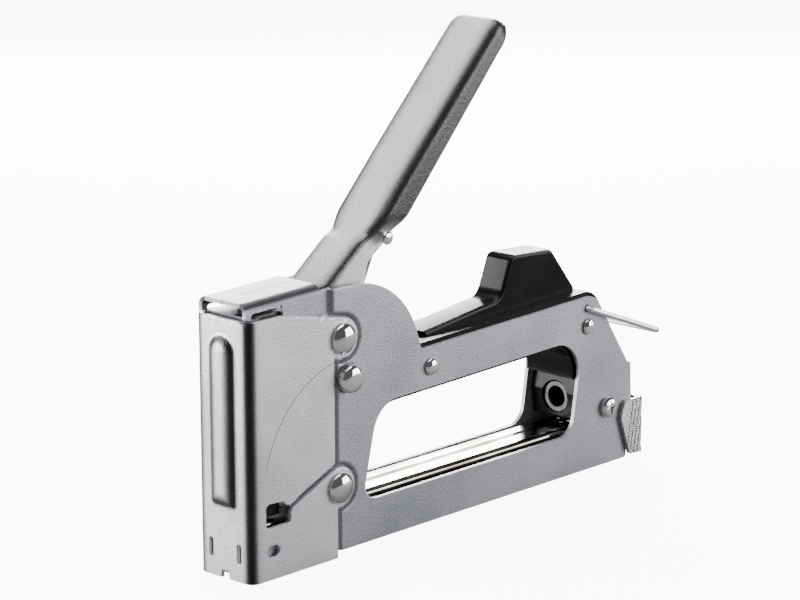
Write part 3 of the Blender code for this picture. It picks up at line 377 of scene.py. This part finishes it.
# %% Outline helpers
def arc(cx, cz, radius, start, end, step=8.0):
    """Points on an arc about every step degrees, both ends included; small arcs have fewer."""
    room = int(radius * math.radians(abs(end - start)) / 0.35)
    count = max(1, min(math.ceil(abs(end - start) / step), room))
    angle = np.radians(np.linspace(start, end, count + 1))
    return np.stack([cx + radius * np.cos(angle), cz + radius * np.sin(angle)], axis=1)


def circle(cx, cz, radius, count=40):
    return arc(cx, cz, radius, 0, 360, 360 / count)[:-1]


def rounded(corners, closed=True):
    """Outline from (x, z, radius) corners, each turned into its tangent arc."""
    parts = []
    for i, (x, z, radius) in enumerate(corners):
        here = np.array((x, z))
        ends = i == 0 or i == len(corners) - 1
        if radius <= 0 or (ends and not closed):
            parts.append(here[None])
            continue
        back = np.array(corners[i - 1][:2]) - here
        ahead = np.array(corners[(i + 1) % len(corners)][:2]) - here
        back = back / np.linalg.norm(back)
        ahead = ahead / np.linalg.norm(ahead)
        half = math.acos(np.clip(back @ ahead, -1, 1)) / 2
        middle = (back + ahead) / np.linalg.norm(back + ahead)
        centre = here + middle * radius / math.sin(half)
        first = here + back * radius / math.tan(half) - centre
        last = here + ahead * radius / math.tan(half) - centre
        start = math.degrees(math.atan2(first[1], first[0]))
        turn = (math.degrees(math.atan2(last[1], last[0])) - start + 180) % 360 - 180
        parts.append(arc(centre[0], centre[1], radius, start, start + turn))
    return np.concatenate(parts)


def divided(loop, step, closed=True):
    """The outline with every side cut into equal pieces no longer than step."""
    ends = np.roll(loop, -1, axis=0) if closed else loop[1:]
    parts = []
    for a, b in zip(loop, ends):
        count = max(1, math.ceil(np.linalg.norm(b - a) / step))
        parts.append(a + (b - a) * (np.arange(count) / count)[:, None])
    if not closed:
        parts.append(loop[-1:])
    return np.concatenate(parts)


def inside(points, loop):
    """Even-odd test of many points against one closed outline."""
    x, z = points[:, :1], points[:, 1:]
    a = loop
    b = np.roll(loop, -1, axis=0)
    crosses = (a[:, 1] > z) != (b[:, 1] > z)
    height = np.where(b[:, 1] == a[:, 1], 1.0, b[:, 1] - a[:, 1])
    at = a[:, 0] + (z - a[:, 1]) * (b[:, 0] - a[:, 0]) / height
    return np.sum(crosses & (x < at), axis=1) % 2 == 1


def distance(points, targets):
    """Distance of each point from the nearest target point, worked out in batches."""
    result = np.empty(len(points))
    for first in range(0, len(points), 2000):
        batch = points[first:first + 2000]
        square = ((batch[:, None, :] - targets[None, :, :]) ** 2).sum(axis=2)
        result[first:first + 2000] = np.sqrt(square.min(axis=1))
    return result


def smooth(value):
    """S-shaped step from nought to one."""
    value = np.clip(value, 0, 1)
    return value * value * (3 - 2 * value)


print("outline helpers ready; a circle of radius 5 has", len(circle(0, 0, 5)), "points")


# %% [markdown]
# ## Sheets from outlines
# Sheet metal could be a flat face with a thickness, but then every bend is a crease. Here the
# outline is filled with a net of triangles fine enough to bend: a surface of two parameters, of which
# each point is then sent to its place in space. Solidify gives the gauge and Bevel eases the cut edge.

# %% Sheet helpers
def net(loops, *grids, creases=()):
    """Triangles over the area inside the first loop and outside the rest, through the grids' points.

    Creases are closed outlines inside the area that the triangles' edges follow.
    """
    border = np.concatenate(loops + list(creases))
    edges = []
    first = 0
    for loop in loops + list(creases):
        index = np.arange(len(loop)) + first
        edges += list(zip(index.tolist(), np.roll(index, -1).tolist()))
        first += len(loop)
    inner = []
    for columns, rows, clear in grids:
        points = np.stack(np.meshgrid(columns, rows), axis=2).reshape(-1, 2)
        points = points[inside(points, loops[0])]
        inner.append(points[distance(points, border) > clear])
    flat = np.concatenate([border] + inner)
    made = geometry.delaunay_2d_cdt([Vector(p) for p in flat], edges, [], 0, 1e-5)
    points = np.array([tuple(v) for v in made[0]])
    faces = np.array([f for f in made[2] if len(f) == 3])
    middle = points[faces].mean(axis=1)
    keep = inside(middle, loops[0])
    for hole in loops[1:]:
        keep &= ~inside(middle, hole)
    return points, faces[keep]


def new_mesh(name, points, faces, finish):
    """Object at the origin from points in millimetres, x counted from the nose."""
    mesh = bpy.data.meshes.new(name)
    placed = (np.asarray(points) + (NOSE_X, 0, 0)) * MM
    mesh.from_pydata(placed.tolist(), [], np.asarray(faces).tolist())
    mesh.validate()
    mesh.shade_smooth()
    mesh.materials.append(finish)
    made = bpy.data.objects.new(name, mesh)
    bpy.context.scene.collection.objects.link(made)
    return made


def outwards(piece):
    work = bmesh.new()
    work.from_mesh(piece.data)
    bmesh.ops.remove_doubles(work, verts=work.verts, dist=1e-6)
    bmesh.ops.recalc_face_normals(work, faces=work.faces)
    work.to_mesh(piece.data)
    work.free()
    return piece


def give(piece, name, values):
    """Store one number for each vertex under a name that a finish can read."""
    piece.data.attributes.new(name, "FLOAT", "POINT").data.foreach_set("value", values.astype(np.float32))


def gauge(piece, thickness, edge, angle=50.0):
    """Thickness inwards, and an eased edge."""
    solid = piece.modifiers.new("gauge", "SOLIDIFY")
    solid.thickness = thickness * MM
    solid.offset = -1
    ease = piece.modifiers.new("edge", "BEVEL")
    ease.width = edge * MM
    ease.segments = 2
    ease.limit_method = "ANGLE"
    ease.angle_limit = math.radians(angle)
    piece.modifiers.new("even", "WEIGHTED_NORMAL")
    return piece


def settle(piece, body, slot, *nodes):
    """Ride on a body and stand for CAD nodes, which are hidden; slot is not used."""
    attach(piece, body)
    if nodes:
        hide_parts(*nodes)
    print(piece.name, "has", len(piece.data.polygons), "faces, rides on", body)


# %% [markdown]
# ## Nose cover
# One sheet wraps the nose: a side, a bend, the front, a bend and the other side. Its net is laid out
# flat, s being the way round from the middle of the front and z the height. The long front rib is a
# bulge whose height is a sine of the distance in from its outline, and the two lobes at
# the rear hold the rivets.

# %% Nose cover
BEND = 2.8
FLAT_HALF = HALF - BEND
BEND_LENGTH = BEND * math.pi / 2
EDGE_X = 31.8
FOOT_X = EDGE_X + 1.0
LOBE = 5.7
SHOULDER_X = 12.5
RIB_FLANK = 4.4
RIB_HALF = 5.1


def unrolled(x):
    """Way round the cover from the middle of its front to a point on its side."""
    return x - BEND + FLAT_HALF + BEND_LENGTH


def lobe(centre, start, end, radius=LOBE):
    return arc(centre[0], centre[1], radius, math.degrees(start), math.degrees(end), 5.0)


def shoulder_angle():
    """Direction from the upper rivet to where the sloping top meets the lobe."""
    across = SHOULDER_X - UPPER_RIVET[0]
    up = NOSE_HEIGHT - UPPER_RIVET[1]
    return math.atan2(up, across) - math.acos(LOBE / math.hypot(across, up))


def cover_side():
    """Cover's outline in side view, from its foot at the rear up to its top at the front."""
    low = lobe(LOWER_RIVET, -math.acos((FOOT_X - LOWER_RIVET[0]) / LOBE),
               math.acos((EDGE_X - LOWER_RIVET[0]) / LOBE) - 0.03)
    high = lobe(UPPER_RIVET, -math.acos((EDGE_X - UPPER_RIVET[0]) / LOBE), shoulder_angle())
    window = rounded([(*low[-1], 0), (14.7, 18.2, 0.5), (14.7, 14.7, 0.8), (5.4, 14.7, 1.2),
                      (5.4, 21.6, 1.6), (11.6, 21.3, 1.6), (13.5, 19.75, 0.4), (EDGE_X, 27.4, 0)],
                     closed=False)
    return np.concatenate([[(FOOT_X, 0.0)], low, window[1:], high, [(SHOULDER_X, NOSE_HEIGHT)]])


def make_cover():
    """The net's points sent to space: flat, round the bend by angle, then flat along the side."""
    side = cover_side()
    right = np.stack([unrolled(side[:, 0]), side[:, 1]], axis=1)
    foot = np.array([(1.5, 2.3), (1.5, 0.0)])
    right = np.concatenate([foot, right])
    left = right[::-1] * (-1, 1)
    loops = [divided(np.concatenate([right, left]), 0.9)]
    for sign in (-1, 1):
        loops += [circle(sign * unrolled(c[0]), c[1], 2.5) for c in (UPPER_RIVET, LOWER_RIVET)]
        oval = rounded([(5.7, 6.35, 1.6), (10.5, 6.35, 1.6), (10.5, 9.65, 1.6), (5.7, 9.65, 1.6)])
        loops.append(divided(np.stack([sign * unrolled(oval[:, 0]), oval[:, 1]], axis=1), 0.9))
        slot = rounded([(-0.9, 5.2, 0.4), (0.9, 5.2, 0.4), (0.9, 10.7, 0.4), (-0.9, 10.7, 0.4)])
        loops.append(divided(slot + (sign * 5.4, 0), 0.9))
    low, high = 20.0, NOSE_HEIGHT - 4.4
    rib = divided(rounded([(-RIB_HALF, low, 1.8), (RIB_HALF, low, 1.8),
                           (RIB_HALF, high, 5.0), (-RIB_HALF, high, 5.0)]), 0.45)
    fine = (np.arange(-7.2, 7.3, 0.45), np.arange(low - 1.5, NOSE_HEIGHT - 0.5, 0.45), 0.35)
    turn = np.linspace(FLAT_HALF, FLAT_HALF + BEND_LENGTH, 10)
    rows = np.arange(0.6, NOSE_HEIGHT, 1.4)
    grids = [fine, (turn, rows, 0.5), (-turn, rows, 0.5),
             (np.arange(-6.8, 7, 1.5), rows[rows < low - 1.4], 0.6),
             (np.arange(14, 45, 2.2), rows, 0.7), (-np.arange(14, 45, 2.2), rows, 0.7)]
    flat, faces = net(loops, *grids, creases=[rib])
    s, z = flat[:, 0], flat[:, 1]
    away = np.abs(s)
    angle = np.clip((away - FLAT_HALF) / BEND, 0, math.pi / 2)
    past = np.clip(away - FLAT_HALF - BEND_LENGTH, 0, None)
    x = BEND * (1 - np.cos(angle)) + past
    y = np.minimum(away, FLAT_HALF) + BEND * np.sin(angle)
    depth = np.where(inside(flat, rib), distance(flat, divided(rib, 0.1)), 0)
    x = x - (RIB_RISE - 0.05) * np.sin(np.clip(depth / RIB_FLANK, 0, 1) * math.pi / 2)
    points = np.stack([x, -np.sign(s) * y, z], axis=1)
    cover = new_mesh("nose_cover_sheet", points, faces, COVER_PAINT)
    # Painted shade: darker across both bends and on both flanks of the rib.
    painted_shade = smooth(1 - np.abs(away - FLAT_HALF - BEND_LENGTH * 0.45) / (BEND_LENGTH * 0.62)) ** 0.6
    rib_flank_shade = smooth(depth / 0.5) * smooth((RIB_FLANK - depth) / 3.0)
    give(cover, "painted_shade", np.clip(painted_shade * 1.15 + rib_flank_shade, 0, 1))
    return gauge(cover, SHEET - 0.05, 0.22)


settle(make_cover(), "body_frame", "silver_cover", "nose_cover")


# %% [markdown]
# ## Side plates
# Each plate is one sheet too. Along the cover's edge it is pressed in by a sheet's thickness, so that
# the cover lies flush, and the step follows the cover's lobes. At the front top it bends over into
# half of the bright top. The net is laid out flat, and points above the bend line go round it.

# %% Side plates
TOP_BEND = 2.6
TOP_LENGTH = 28.0
TOP_BEND_LENGTH = TOP_BEND * math.pi / 2
TOP_FLAT = FRONT_HALF - TOP_BEND - GAP / 2
HOLE_FLOOR = 13.9
HUMP_RADIUS = 26.2


def bar_line(x):
    return BAR_TOP + (x - 67.0) * BAR_RISE


def plate_outline():
    """Plate laid flat, from its foot at the front round the rear, along the bar and over the hump."""
    rear = BODY_LENGTH
    corner = rear - 17.5
    bend_line = TOP_Z - TOP_BEND
    body = rounded([(2.6, 1.9, 0), (rear - 2.2, 1.9, 1), (rear, 21.1, 3), (rear - 0.4, 31.5, 0),
                    (rear - 1.8, 31.7, 0), (corner, bar_line(corner), 6), (PIVOT[0] + 29.6, BAR_TOP, 0)],
                   closed=False)
    start = math.degrees(math.asin((BAR_TOP - PIVOT[1] + 0.6) / HUMP_RADIUS)) + 6
    end = math.degrees(math.atan2(TOP_Z - 1.1 - PIVOT[1] + 0.6, 3.7))
    hump = arc(PIVOT[0] + 3.0, PIVOT[1] - 0.6, HUMP_RADIUS, start, end, 4.0)
    over = bend_line + TOP_BEND_LENGTH + TOP_FLAT
    tab = [(29.4, TOP_Z - 1.1), (28.6, TOP_Z - 1.8), (TOP_LENGTH, TOP_Z - 1.4), (TOP_LENGTH, over),
           (GAP, over), (GAP, bend_line - 1.6), (2.6, bend_line - 2.0)]
    return np.concatenate([body, hump, tab])


def finger_hole():
    """Outline of the finger hole, as pressed in the plates."""
    rear = BODY_LENGTH - 25.6
    top = BAR_TOP - 11.9
    lean = (top - HOLE_FLOOR) * 0.24
    return rounded([(42.5, HOLE_FLOOR, 4.5), (rear - 2.0, HOLE_FLOOR + 0.3, 6),
                    (rear + 2.8, bar_line(rear) - 11.9, 10), (42.5 + lean, top - 0.3, 10)])


def step_line(extra):
    """Area pressed in: all that lies in front of the cover's edge and round its lobes."""
    line = EDGE_X + GAP + extra
    radius = LOBE + GAP + extra
    low = lobe(LOWER_RIVET, -math.acos((line + 1.0 - LOWER_RIVET[0]) / radius),
               math.acos((line - LOWER_RIVET[0]) / radius), radius)
    high = lobe(UPPER_RIVET, -math.acos((line - UPPER_RIVET[0]) / radius), shoulder_angle(), radius)
    x = line - 1.5
    slope_end = high[-1][1] + (high[-1][0] - x) / math.tan(shoulder_angle())
    return np.concatenate([[(-20, -20), (line + 1.0, -20)], low, high,
                           [(x, slope_end), (x, TOP_Z + 30), (-20, TOP_Z + 30)]])


def make_plate(name, side):
    """Net sent to space: the side stands at the outer or the pressed-in level, the tab is bent over."""
    holes = [finger_hole(), circle(*PIVOT, 4.3), circle(*UPPER_RIVET, 2.5), circle(*LOWER_RIVET, 2.5),
             circle(*FRONT_BODY_RIVET, 1.9, 24), circle(*REAR_BODY_RIVET, 1.9, 24), circle(*BAIL, 1.2, 20),
             circle(*SCREW, 2.0, 24),
             rounded([(2.4, TOP_Z - 7, 0.4), (14.2, TOP_Z - 7, 0.4),
                      (14.2, TOP_Z - 2.9, 0.8), (2.4, TOP_Z - 2.9, 0.8)]),
             rounded([(4.4, 13.8, 1), (15.6, 13.8, 1), (15.6, 22.6, 1), (4.4, 22.6, 1)])]
    loops = [divided(loop, 1.0) for loop in [plate_outline()] + holes]
    bend_line = TOP_Z - TOP_BEND
    fine = (np.arange(EDGE_X - 3, 45.5, 0.42), np.arange(2.2, 77, 0.42), 0.32)
    coarse = (np.arange(4, BODY_LENGTH, 4.0), np.arange(4, 72, 4.0), 1.5)
    turn = (np.arange(1.5, TOP_LENGTH, 1.6), bend_line + np.linspace(0, TOP_BEND_LENGTH, 9), 0.3)
    past_bend = bend_line + TOP_BEND_LENGTH + np.arange(1.2, TOP_FLAT, 1.5)
    flange = (np.arange(1.5, TOP_LENGTH, 2.0), past_bend, 0.5)
    flat, faces = net(loops, fine, coarse, turn, flange)
    x, u = flat[:, 0], flat[:, 1]
    line = divided(step_line(0.0), 0.25)
    away = distance(flat, line) * np.where(inside(flat, line), -1, 1)
    level = FRONT_HALF + (HALF - FRONT_HALF) * smooth(away / 1.3)
    rise = x * BAR_RISE * 0.9
    over = np.where(x <= TOP_LENGTH + 0.01, np.clip(u - bend_line, 0, None), 0)
    angle = np.clip(over / TOP_BEND, 0, math.pi / 2)
    past = np.clip(over - TOP_BEND_LENGTH, 0, None)
    y = level - TOP_BEND * (1 - np.cos(angle)) - past
    z = np.where(over > 0, bend_line + TOP_BEND * np.sin(angle), u)
    z = z + rise * smooth((u - (bend_line - 3)) / 3) * (x <= TOP_LENGTH + 0.01)
    points = np.stack([x, side * y, z], axis=1)
    plate = new_mesh(name, points, faces if side < 0 else faces[:, ::-1], PLATE_PAINT)
    # Painted shade: darker along the pressed step round the cover's edge and across the top bend.
    step = np.exp(-((away - 0.65) / 0.55) ** 2) * 0.35
    top_bend_shade = smooth(over / 0.8) * smooth((TOP_BEND_LENGTH - over) / 0.8) * 0.9
    give(plate, "painted_shade", np.clip(step + top_bend_shade, 0, 1))
    return gauge(plate, SHEET, 0.25)


settle(make_plate("side_plate_left", -1), "body_frame", "silver_paint", "body_plate_left")
settle(make_plate("side_plate_right", 1), "body_frame", "silver_paint", "body_plate_right")


# %% [markdown]
# ## Softened pieces
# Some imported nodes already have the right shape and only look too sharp. For those, a copy of
# the mesh is merged at its seams, its flat faces are made whole, and a small Bevel rounds its edges.

# %% Softened copies
def softened(node, name, finish, width, segments=2, angle=35.0):
    """Copy of a node's mesh with eased edges, standing where the node stands."""
    mesh = NODES[node].data.copy()
    mesh.name = name
    work = bmesh.new()
    work.from_mesh(mesh)
    bmesh.ops.remove_doubles(work, verts=work.verts, dist=1e-5)
    bmesh.ops.dissolve_limit(work, angle_limit=math.radians(0.5), verts=work.verts, edges=work.edges)
    work.to_mesh(mesh)
    work.free()
    mesh.shade_smooth()
    mesh.materials.clear()
    mesh.materials.append(finish)
    made = bpy.data.objects.new(name, mesh)
    bpy.context.scene.collection.objects.link(made)
    ease = made.modifiers.new("edge", "BEVEL")
    ease.width = width * MM
    ease.segments = segments
    ease.limit_method = "ANGLE"
    ease.angle_limit = math.radians(angle)
    made.modifiers.new("even", "WEIGHTED_NORMAL")
    return made


settle(softened("grip_insert", "insert_moulding", BLACK, 0.6, 3),
       "body_frame", "black_moulding", "grip_insert")
settle(softened("latch_block", "latch_moulding", BLACK, 0.5, 3),
       "body_frame", "black_moulding", "latch_block")
settle(softened("magazine_cap", "cap_knob", KNURLED_STEEL, 0.12),
       "magazine_slide", "knurled_steel", "magazine_cap")
settle(softened("handle_lever", "lever_arm", DARK_STEEL, 0.4), "handle", "dark_steel", "handle_lever")

# %% [markdown]
# ## Handle
# The handle is a pressed channel: one U-shaped section carried along a line, narrow in the neck
# between the plates, wider in the grip, and drawn in round the tip. Each station has a point on
# the back and a point on the rim, and a short moving average along the line rounds the changes of course.

# %% Handle channel
NECK = 7.2
GRIP = 9.25
LEAN = math.radians(46.5)


def handle_point(along, over):
    """Point of the handle's own frame in side view: along the grip, and square to it."""
    return (PIVOT[0] + along * math.cos(LEAN) - over * math.sin(LEAN),
            PIVOT[1] + along * math.sin(LEAN) + over * math.cos(LEAN))


def handle_stations():
    """Rows of back x, back z, rim x, rim z, half width and share of grip, evenly close together."""
    rows = []
    for back, rim in (((-7.3, 12.0), (9.0, 12.0)), ((-6.6, 25.0), (10.2, 24.0)),
                      ((0.0, 30.2), (11.2, 30.0)), ((8.6, 36.9), (19.4, 35.2))):
        ends = (PIVOT[0] + back[0], PIVOT[1] + back[1], PIVOT[0] + rim[0], PIVOT[1] + rim[1])
        rows.append((*ends, NECK, 0.0))
    for back, rim, half, grip in (((34.0, 17.6), (40.0, 11.2), 7.4, 0.1),
                                  ((40.0, 17.75), (46.4, 9.9), GRIP, 1.0),
                                  ((60.4, 18.0), (62.0, 10.2), GRIP, 1.0),
                                  ((106.0, 17.4), (105.2, 10.9), GRIP, 1.0)):
        rows.append((*handle_point(*back), *handle_point(*rim), half, grip))
    for turn in np.radians(np.arange(8, 97, 11)):
        back = (107.6 + 4.5 * math.sin(turn), 12.9 + 4.5 * math.cos(turn))
        rim = (106.0 + 3.4 * turn, 10.9)
        rows.append((*handle_point(*back), *handle_point(*rim), GRIP - 2.4 * (1 - math.cos(turn)), 1.0))
    rows = np.array(rows)
    run = np.concatenate([[0], np.cumsum(np.hypot(*np.diff(rows[:, :2], axis=0).T))])
    even = np.linspace(0, run[-1], 190)
    dense = np.stack([np.interp(even, run, column) for column in rows.T], axis=1)
    padded = np.concatenate([dense[:1]] * 3 + [dense] + [dense[-1:]] * 3)
    return np.stack([np.convolve(column, np.ones(7) / 7, "valid") for column in padded.T], axis=1)


def make_channel():
    """Each section runs from one rim up a side wall, round a corner, over the back and down again."""
    rows = handle_stations()
    back, rim, half, grip = rows[:, :2], rows[:, 2:4], rows[:, 4], rows[:, 5]
    deep = np.linalg.norm(rim - back, axis=1)
    down = (rim - back) / deep[:, None]
    corner = np.minimum(2.8, deep * 0.8)
    turn = np.radians(np.linspace(0, 90, 8))
    wall = np.linspace(1, 0, 6)[:-1]
    flat = np.linspace(1, 0, 4)[1:]
    y = np.concatenate([np.repeat(half[:, None], 5, axis=1),
                        half[:, None] - corner[:, None] * (1 - np.cos(turn)),
                        (half - corner)[:, None] * flat], axis=1)
    d = np.concatenate([corner[:, None] + (deep - corner)[:, None] * wall,
                        corner[:, None] * (1 - np.sin(turn)),
                        np.zeros((len(rows), len(flat)))], axis=1)
    y = np.concatenate([-y, y[:, -2::-1]], axis=1)
    d = np.concatenate([d, d[:, -2::-1]], axis=1)
    points = np.stack([back[:, :1] + down[:, :1] * d, y, back[:, 1:] + down[:, 1:] * d], axis=2)
    count = y.shape[1]
    grid = np.arange(len(rows) * count).reshape(len(rows), count)
    faces = np.stack([grid[:-1, :-1], grid[1:, :-1], grid[1:, 1:], grid[:-1, 1:]], axis=2).reshape(-1, 4)
    channel = new_mesh("handle_channel", points.reshape(-1, 3), faces, HANDLE_PAINT)
    # Painted shade: the handle's rounded corners are darkened, and in the grip its side walls too.
    side = np.clip(1 - (half[:, None] - np.abs(y)) / (1.35 * corner[:, None]), 0, 1)
    on_wall = smooth((d - corner[:, None]) / 1.5)
    neck_side_shade = smooth(side * 1.3) * (1 - on_wall) * 0.9
    grip_side_shade = smooth(side * 1.8) * 0.96
    give(channel, "painted_shade", (neck_side_shade + (grip_side_shade - neck_side_shade) * grip[:, None]).ravel())
    return gauge(channel, SHEET - 0.05, 0.2)


def make_ears():
    """Two flat ears below the channel, each with a round hub and a bore for the pin."""
    edge = np.concatenate([[(PIVOT[0] + 8.8, PIVOT[1] + 12.6)], arc(*PIVOT, 7.5, 0, -180, 8.0),
                           [(PIVOT[0] - 7.1, PIVOT[1] + 12.6)]])[::-1]
    loops = [divided(edge, 1.2), circle(*PIVOT, 4.3)]
    rows = (np.arange(PIVOT[0] - 8, PIVOT[0] + 10, 1.8), np.arange(PIVOT[1] - 8, PIVOT[1] + 13, 1.8), 0.8)
    flat, faces = net(loops, rows)
    left = np.stack([flat[:, 0], np.full(len(flat), -NECK), flat[:, 1]], axis=1)
    points = np.concatenate([left, left * (1, -1, 1)])
    ears = new_mesh("handle_ears", points, np.concatenate([faces, faces[:, ::-1] + len(flat)]), HANDLE_PAINT)
    give(ears, "painted_shade", np.zeros(len(points)))
    return gauge(ears, SHEET - 0.05, 0.2)


settle(make_channel(), "handle", "silver_handle", "handle_shell")
settle(make_ears(), "handle", "silver_handle")

# %% [markdown]
# ## Turned parts
# Rivets and the pin are bodies of revolution: a profile of level and radius
# turned round an axis across the tool. Their domes are arcs, so that highlights run round them.

# %% Turned parts
def lathe(name, centre, profile, finish, count=48, axis=1):
    """Profile of (level, radius) turned round an axis: every ring is a full circle, each end a pole."""
    profile = np.array(profile, float)
    angle = np.arange(count) * 2 * math.pi / count
    points = np.zeros((len(profile), count, 3))
    others = [i for i in range(3) if i != axis]
    points[:, :, others[0]] = centre[0] + profile[:, 1:] * np.cos(angle)
    points[:, :, others[1]] = centre[1] + profile[:, 1:] * np.sin(angle)
    points[:, :, axis] = profile[:, :1]
    grid = np.arange(len(profile) * count).reshape(len(profile), count)
    around = np.roll(grid, -1, axis=1)
    faces = np.stack([grid[:-1], around[:-1], around[1:], grid[1:]], axis=2).reshape(-1, 4)
    piece = new_mesh(name, points.reshape(-1, 3), faces, finish)
    return outwards(piece)


def domed(face, radius, rise, shank, steps=9):
    """Half of a rivet: shank, flat underside, then a dome that is a quarter of an ellipse."""
    turn = np.linspace(0, math.pi / 2, steps)
    dome = np.stack([face + rise * 0.12 + rise * 0.88 * np.sin(turn), radius * np.cos(turn)], axis=1)
    dome[-1, 1] = 0.0
    return np.concatenate([[(face, shank), (face, radius - 0.15)], dome])


def both_ways(half):
    """A profile followed by its mirror image, from one end of the axis to the other."""
    return np.concatenate([half[::-1] * (-1, 1), half])


OUT = HALF + GAP
for node, centre, radius, rise, shank in (("lower_rivet", LOWER_RIVET, 4.4, 2.2, 2.2),
                                          ("front_body_rivet", FRONT_BODY_RIVET, 2.5, 1.3, 1.6),
                                          ("rear_body_rivet", REAR_BODY_RIVET, 2.5, 1.3, 1.6)):
    settle(lathe(node + "_domed", centre, both_ways(domed(OUT, radius, rise, shank)), NICKEL),
           "body_frame", "chrome", node)
for side, name in ((-1, "left"), (1, "right")):
    node = "upper_rivet_" + name
    steps = np.concatenate([[(8.1, 0.0), (8.1, 2.2)], domed(OUT, 4.4, 2.2, 2.2)]) * (side, 1)
    settle(lathe(node + "_domed", UPPER_RIVET, steps, NICKEL), "body_frame", "chrome", node)

PIN_END = HALF + 3.3
pin_turn = np.linspace(0, math.pi / 2, 9)
pin_dome = np.stack([PIN_END - 1.5 + 1.5 * np.sin(pin_turn), 0.9 + 3.1 * np.cos(pin_turn)], axis=1)
pin_half = np.concatenate([pin_dome, [(PIN_END, 0.0)]])
settle(lathe("pivot_pin_domed", PIVOT, both_ways(pin_half), NICKEL), "body_frame", "chrome", "pivot_pin")

# %% [markdown]
# ## Carried nodes
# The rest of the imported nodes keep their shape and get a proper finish: inner parts that show through
# the slots, the finger hole and the gap under the handle.

# %% Carried nodes
CARRIED = {
    NICKEL: ("rear_screw", "rear_nut", "handle_rivet"),
    HOUSING_STEEL: ("magazine_housing",),
    BRIGHT_STEEL: ("staple_track", "nose_guide", "driver_blade", "pusher_rod", "locking_bail",
                   "pivot_washer_left", "pivot_washer_right"),
    # The latch sleeve takes the dark steel as painted shade of the hollow round it.
    DARK_STEEL: ("plunger", "pusher", "spring_seat", "latch_sleeve"),
    SPRING_STEEL: ("main_spring", "return_spring", "pusher_spring", "cap_spring"),
    STAPLE_WIRE: ("staple_strip",),
    RUBBER: ("plunger_bumper",),
}
for finish, names in CARRIED.items():
    for name in names:
        NODES[name].data.materials.clear()
        NODES[name].data.materials.append(finish)
print("carried:", sum(len(names) for names in CARRIED.values()), "nodes")

# %% [markdown]
# ## Studio
# A pale flat floor, a large soft light above, and soft panels on the right, on the left and behind.
# The paint is half a mirror, so the panels are placed where each face's reflection looks: low on the
# right for the side, on the left for the front and behind for the top. Floor and surroundings are
# bright only as the camera sees them, so they look white and still leave the metal its dark tones.

# %% Floor
floor_mesh = bpy.data.meshes.new("floor")
FLOOR = 6.0
corners = [(-FLOOR, -FLOOR, 0), (FLOOR, -FLOOR, 0), (FLOOR, FLOOR, 0), (-FLOOR, FLOOR, 0)]
floor_mesh.from_pydata(corners, [], [(0, 1, 2, 3)])
floor = bpy.data.objects.new("floor", floor_mesh)
bpy.context.scene.collection.objects.link(floor)
floor.location.z = cad_low.z - 0.0002
floor_finish, floor_tree, floor_shader = new_finish("floor_paper", 0.85, 0.0)
floor_grain = wire(floor_tree, "ShaderNodeTexNoise", {"Scale": 30.0, "Detail": 2.0}).outputs[0]
paper = blend_colour(floor_tree, floor_grain, (0.86, 0.86, 0.86, 1), (0.88, 0.88, 0.88, 1))
looked_at = wire(floor_tree, "ShaderNodeLightPath", {}).outputs["Is Camera Ray"]
floor_colour = blend_colour(floor_tree, looked_at, (0.22, 0.22, 0.22, 1), paper)
floor_tree.links.new(floor_colour, floor_shader["Base Color"])
floor_shader["Emission Color"].default_value = (1.0, 1.0, 1.0, 1.0)
floor_tree.links.new(sum_of(floor_tree, looked_at, 9.0, "MULTIPLY"), floor_shader["Emission Strength"])
floor_mesh.materials.append(floor_finish)
print("floor at", round(floor.location.z / MM, 2), "mm")


# %% Lights
CENTRE = (cad_low + cad_high) / 2


def panel(name, place, size, power):
    """Soft rectangular light that faces the middle of the tool."""
    lamp = bpy.data.lights.new(name, "AREA")
    lamp.shape = "RECTANGLE"
    lamp.size, lamp.size_y = size
    lamp.energy = power
    made = bpy.data.objects.new(name, lamp)
    made.location = CENTRE + Vector(place)
    made.rotation_euler = (-Vector(place)).to_track_quat("-Z", "Y").to_euler()
    bpy.context.scene.collection.objects.link(made)
    return made


panel("top_light", (0.05, 0.1, 0.9), (0.9, 0.9), 12.0)
panel("right_light", (0.62, -0.58, 0.1), (0.6, 0.5), 6.5)
panel("left_light", (-0.62, 0.58, 0.12), (0.6, 0.5), 15.0)
panel("rear_light", (0.62, 0.6, 0.24), (0.7, 0.3), 15.0)

world = bpy.data.worlds.new("studio")
bpy.context.scene.world = world
world.use_nodes = True
sky = world.node_tree
seen = wire(sky, "ShaderNodeLightPath", {}).outputs["Is Camera Ray"]
tint = blend_colour(sky, seen, (0.1, 0.1, 0.105, 1), (14.0, 14.0, 14.0, 1))
sky.links.new(tint, sky.nodes["Background"].inputs["Color"])

# %% [markdown]
# ## Camera
# A long lens from the front left, a little above the tool.

# %% Camera
HEADING = math.radians(46.62)
PITCH = math.radians(13.59)
ROLL = math.radians(-0.16)
STAND_OFF = 844.2
AIM = Vector(((68.95 + NOSE_X) * MM, 0.0, 65.09 * MM))
ahead = Vector((math.sin(HEADING) * math.cos(PITCH), math.cos(HEADING) * math.cos(PITCH), -math.sin(PITCH)))
camera = bpy.data.objects.new("camera", bpy.data.cameras.new("camera"))
bpy.context.scene.collection.objects.link(camera)
camera.data.lens = 135.0
camera.data.sensor_width = 36.0
turn = ahead.to_track_quat("-Z", "Y").to_matrix().to_4x4() @ Matrix.Rotation(ROLL, 4, "Z")
camera.matrix_world = Matrix.Translation(AIM - ahead * STAND_OFF * MM) @ turn
bpy.context.scene.camera = camera
print("camera at", [round(c, 3) for c in camera.location])
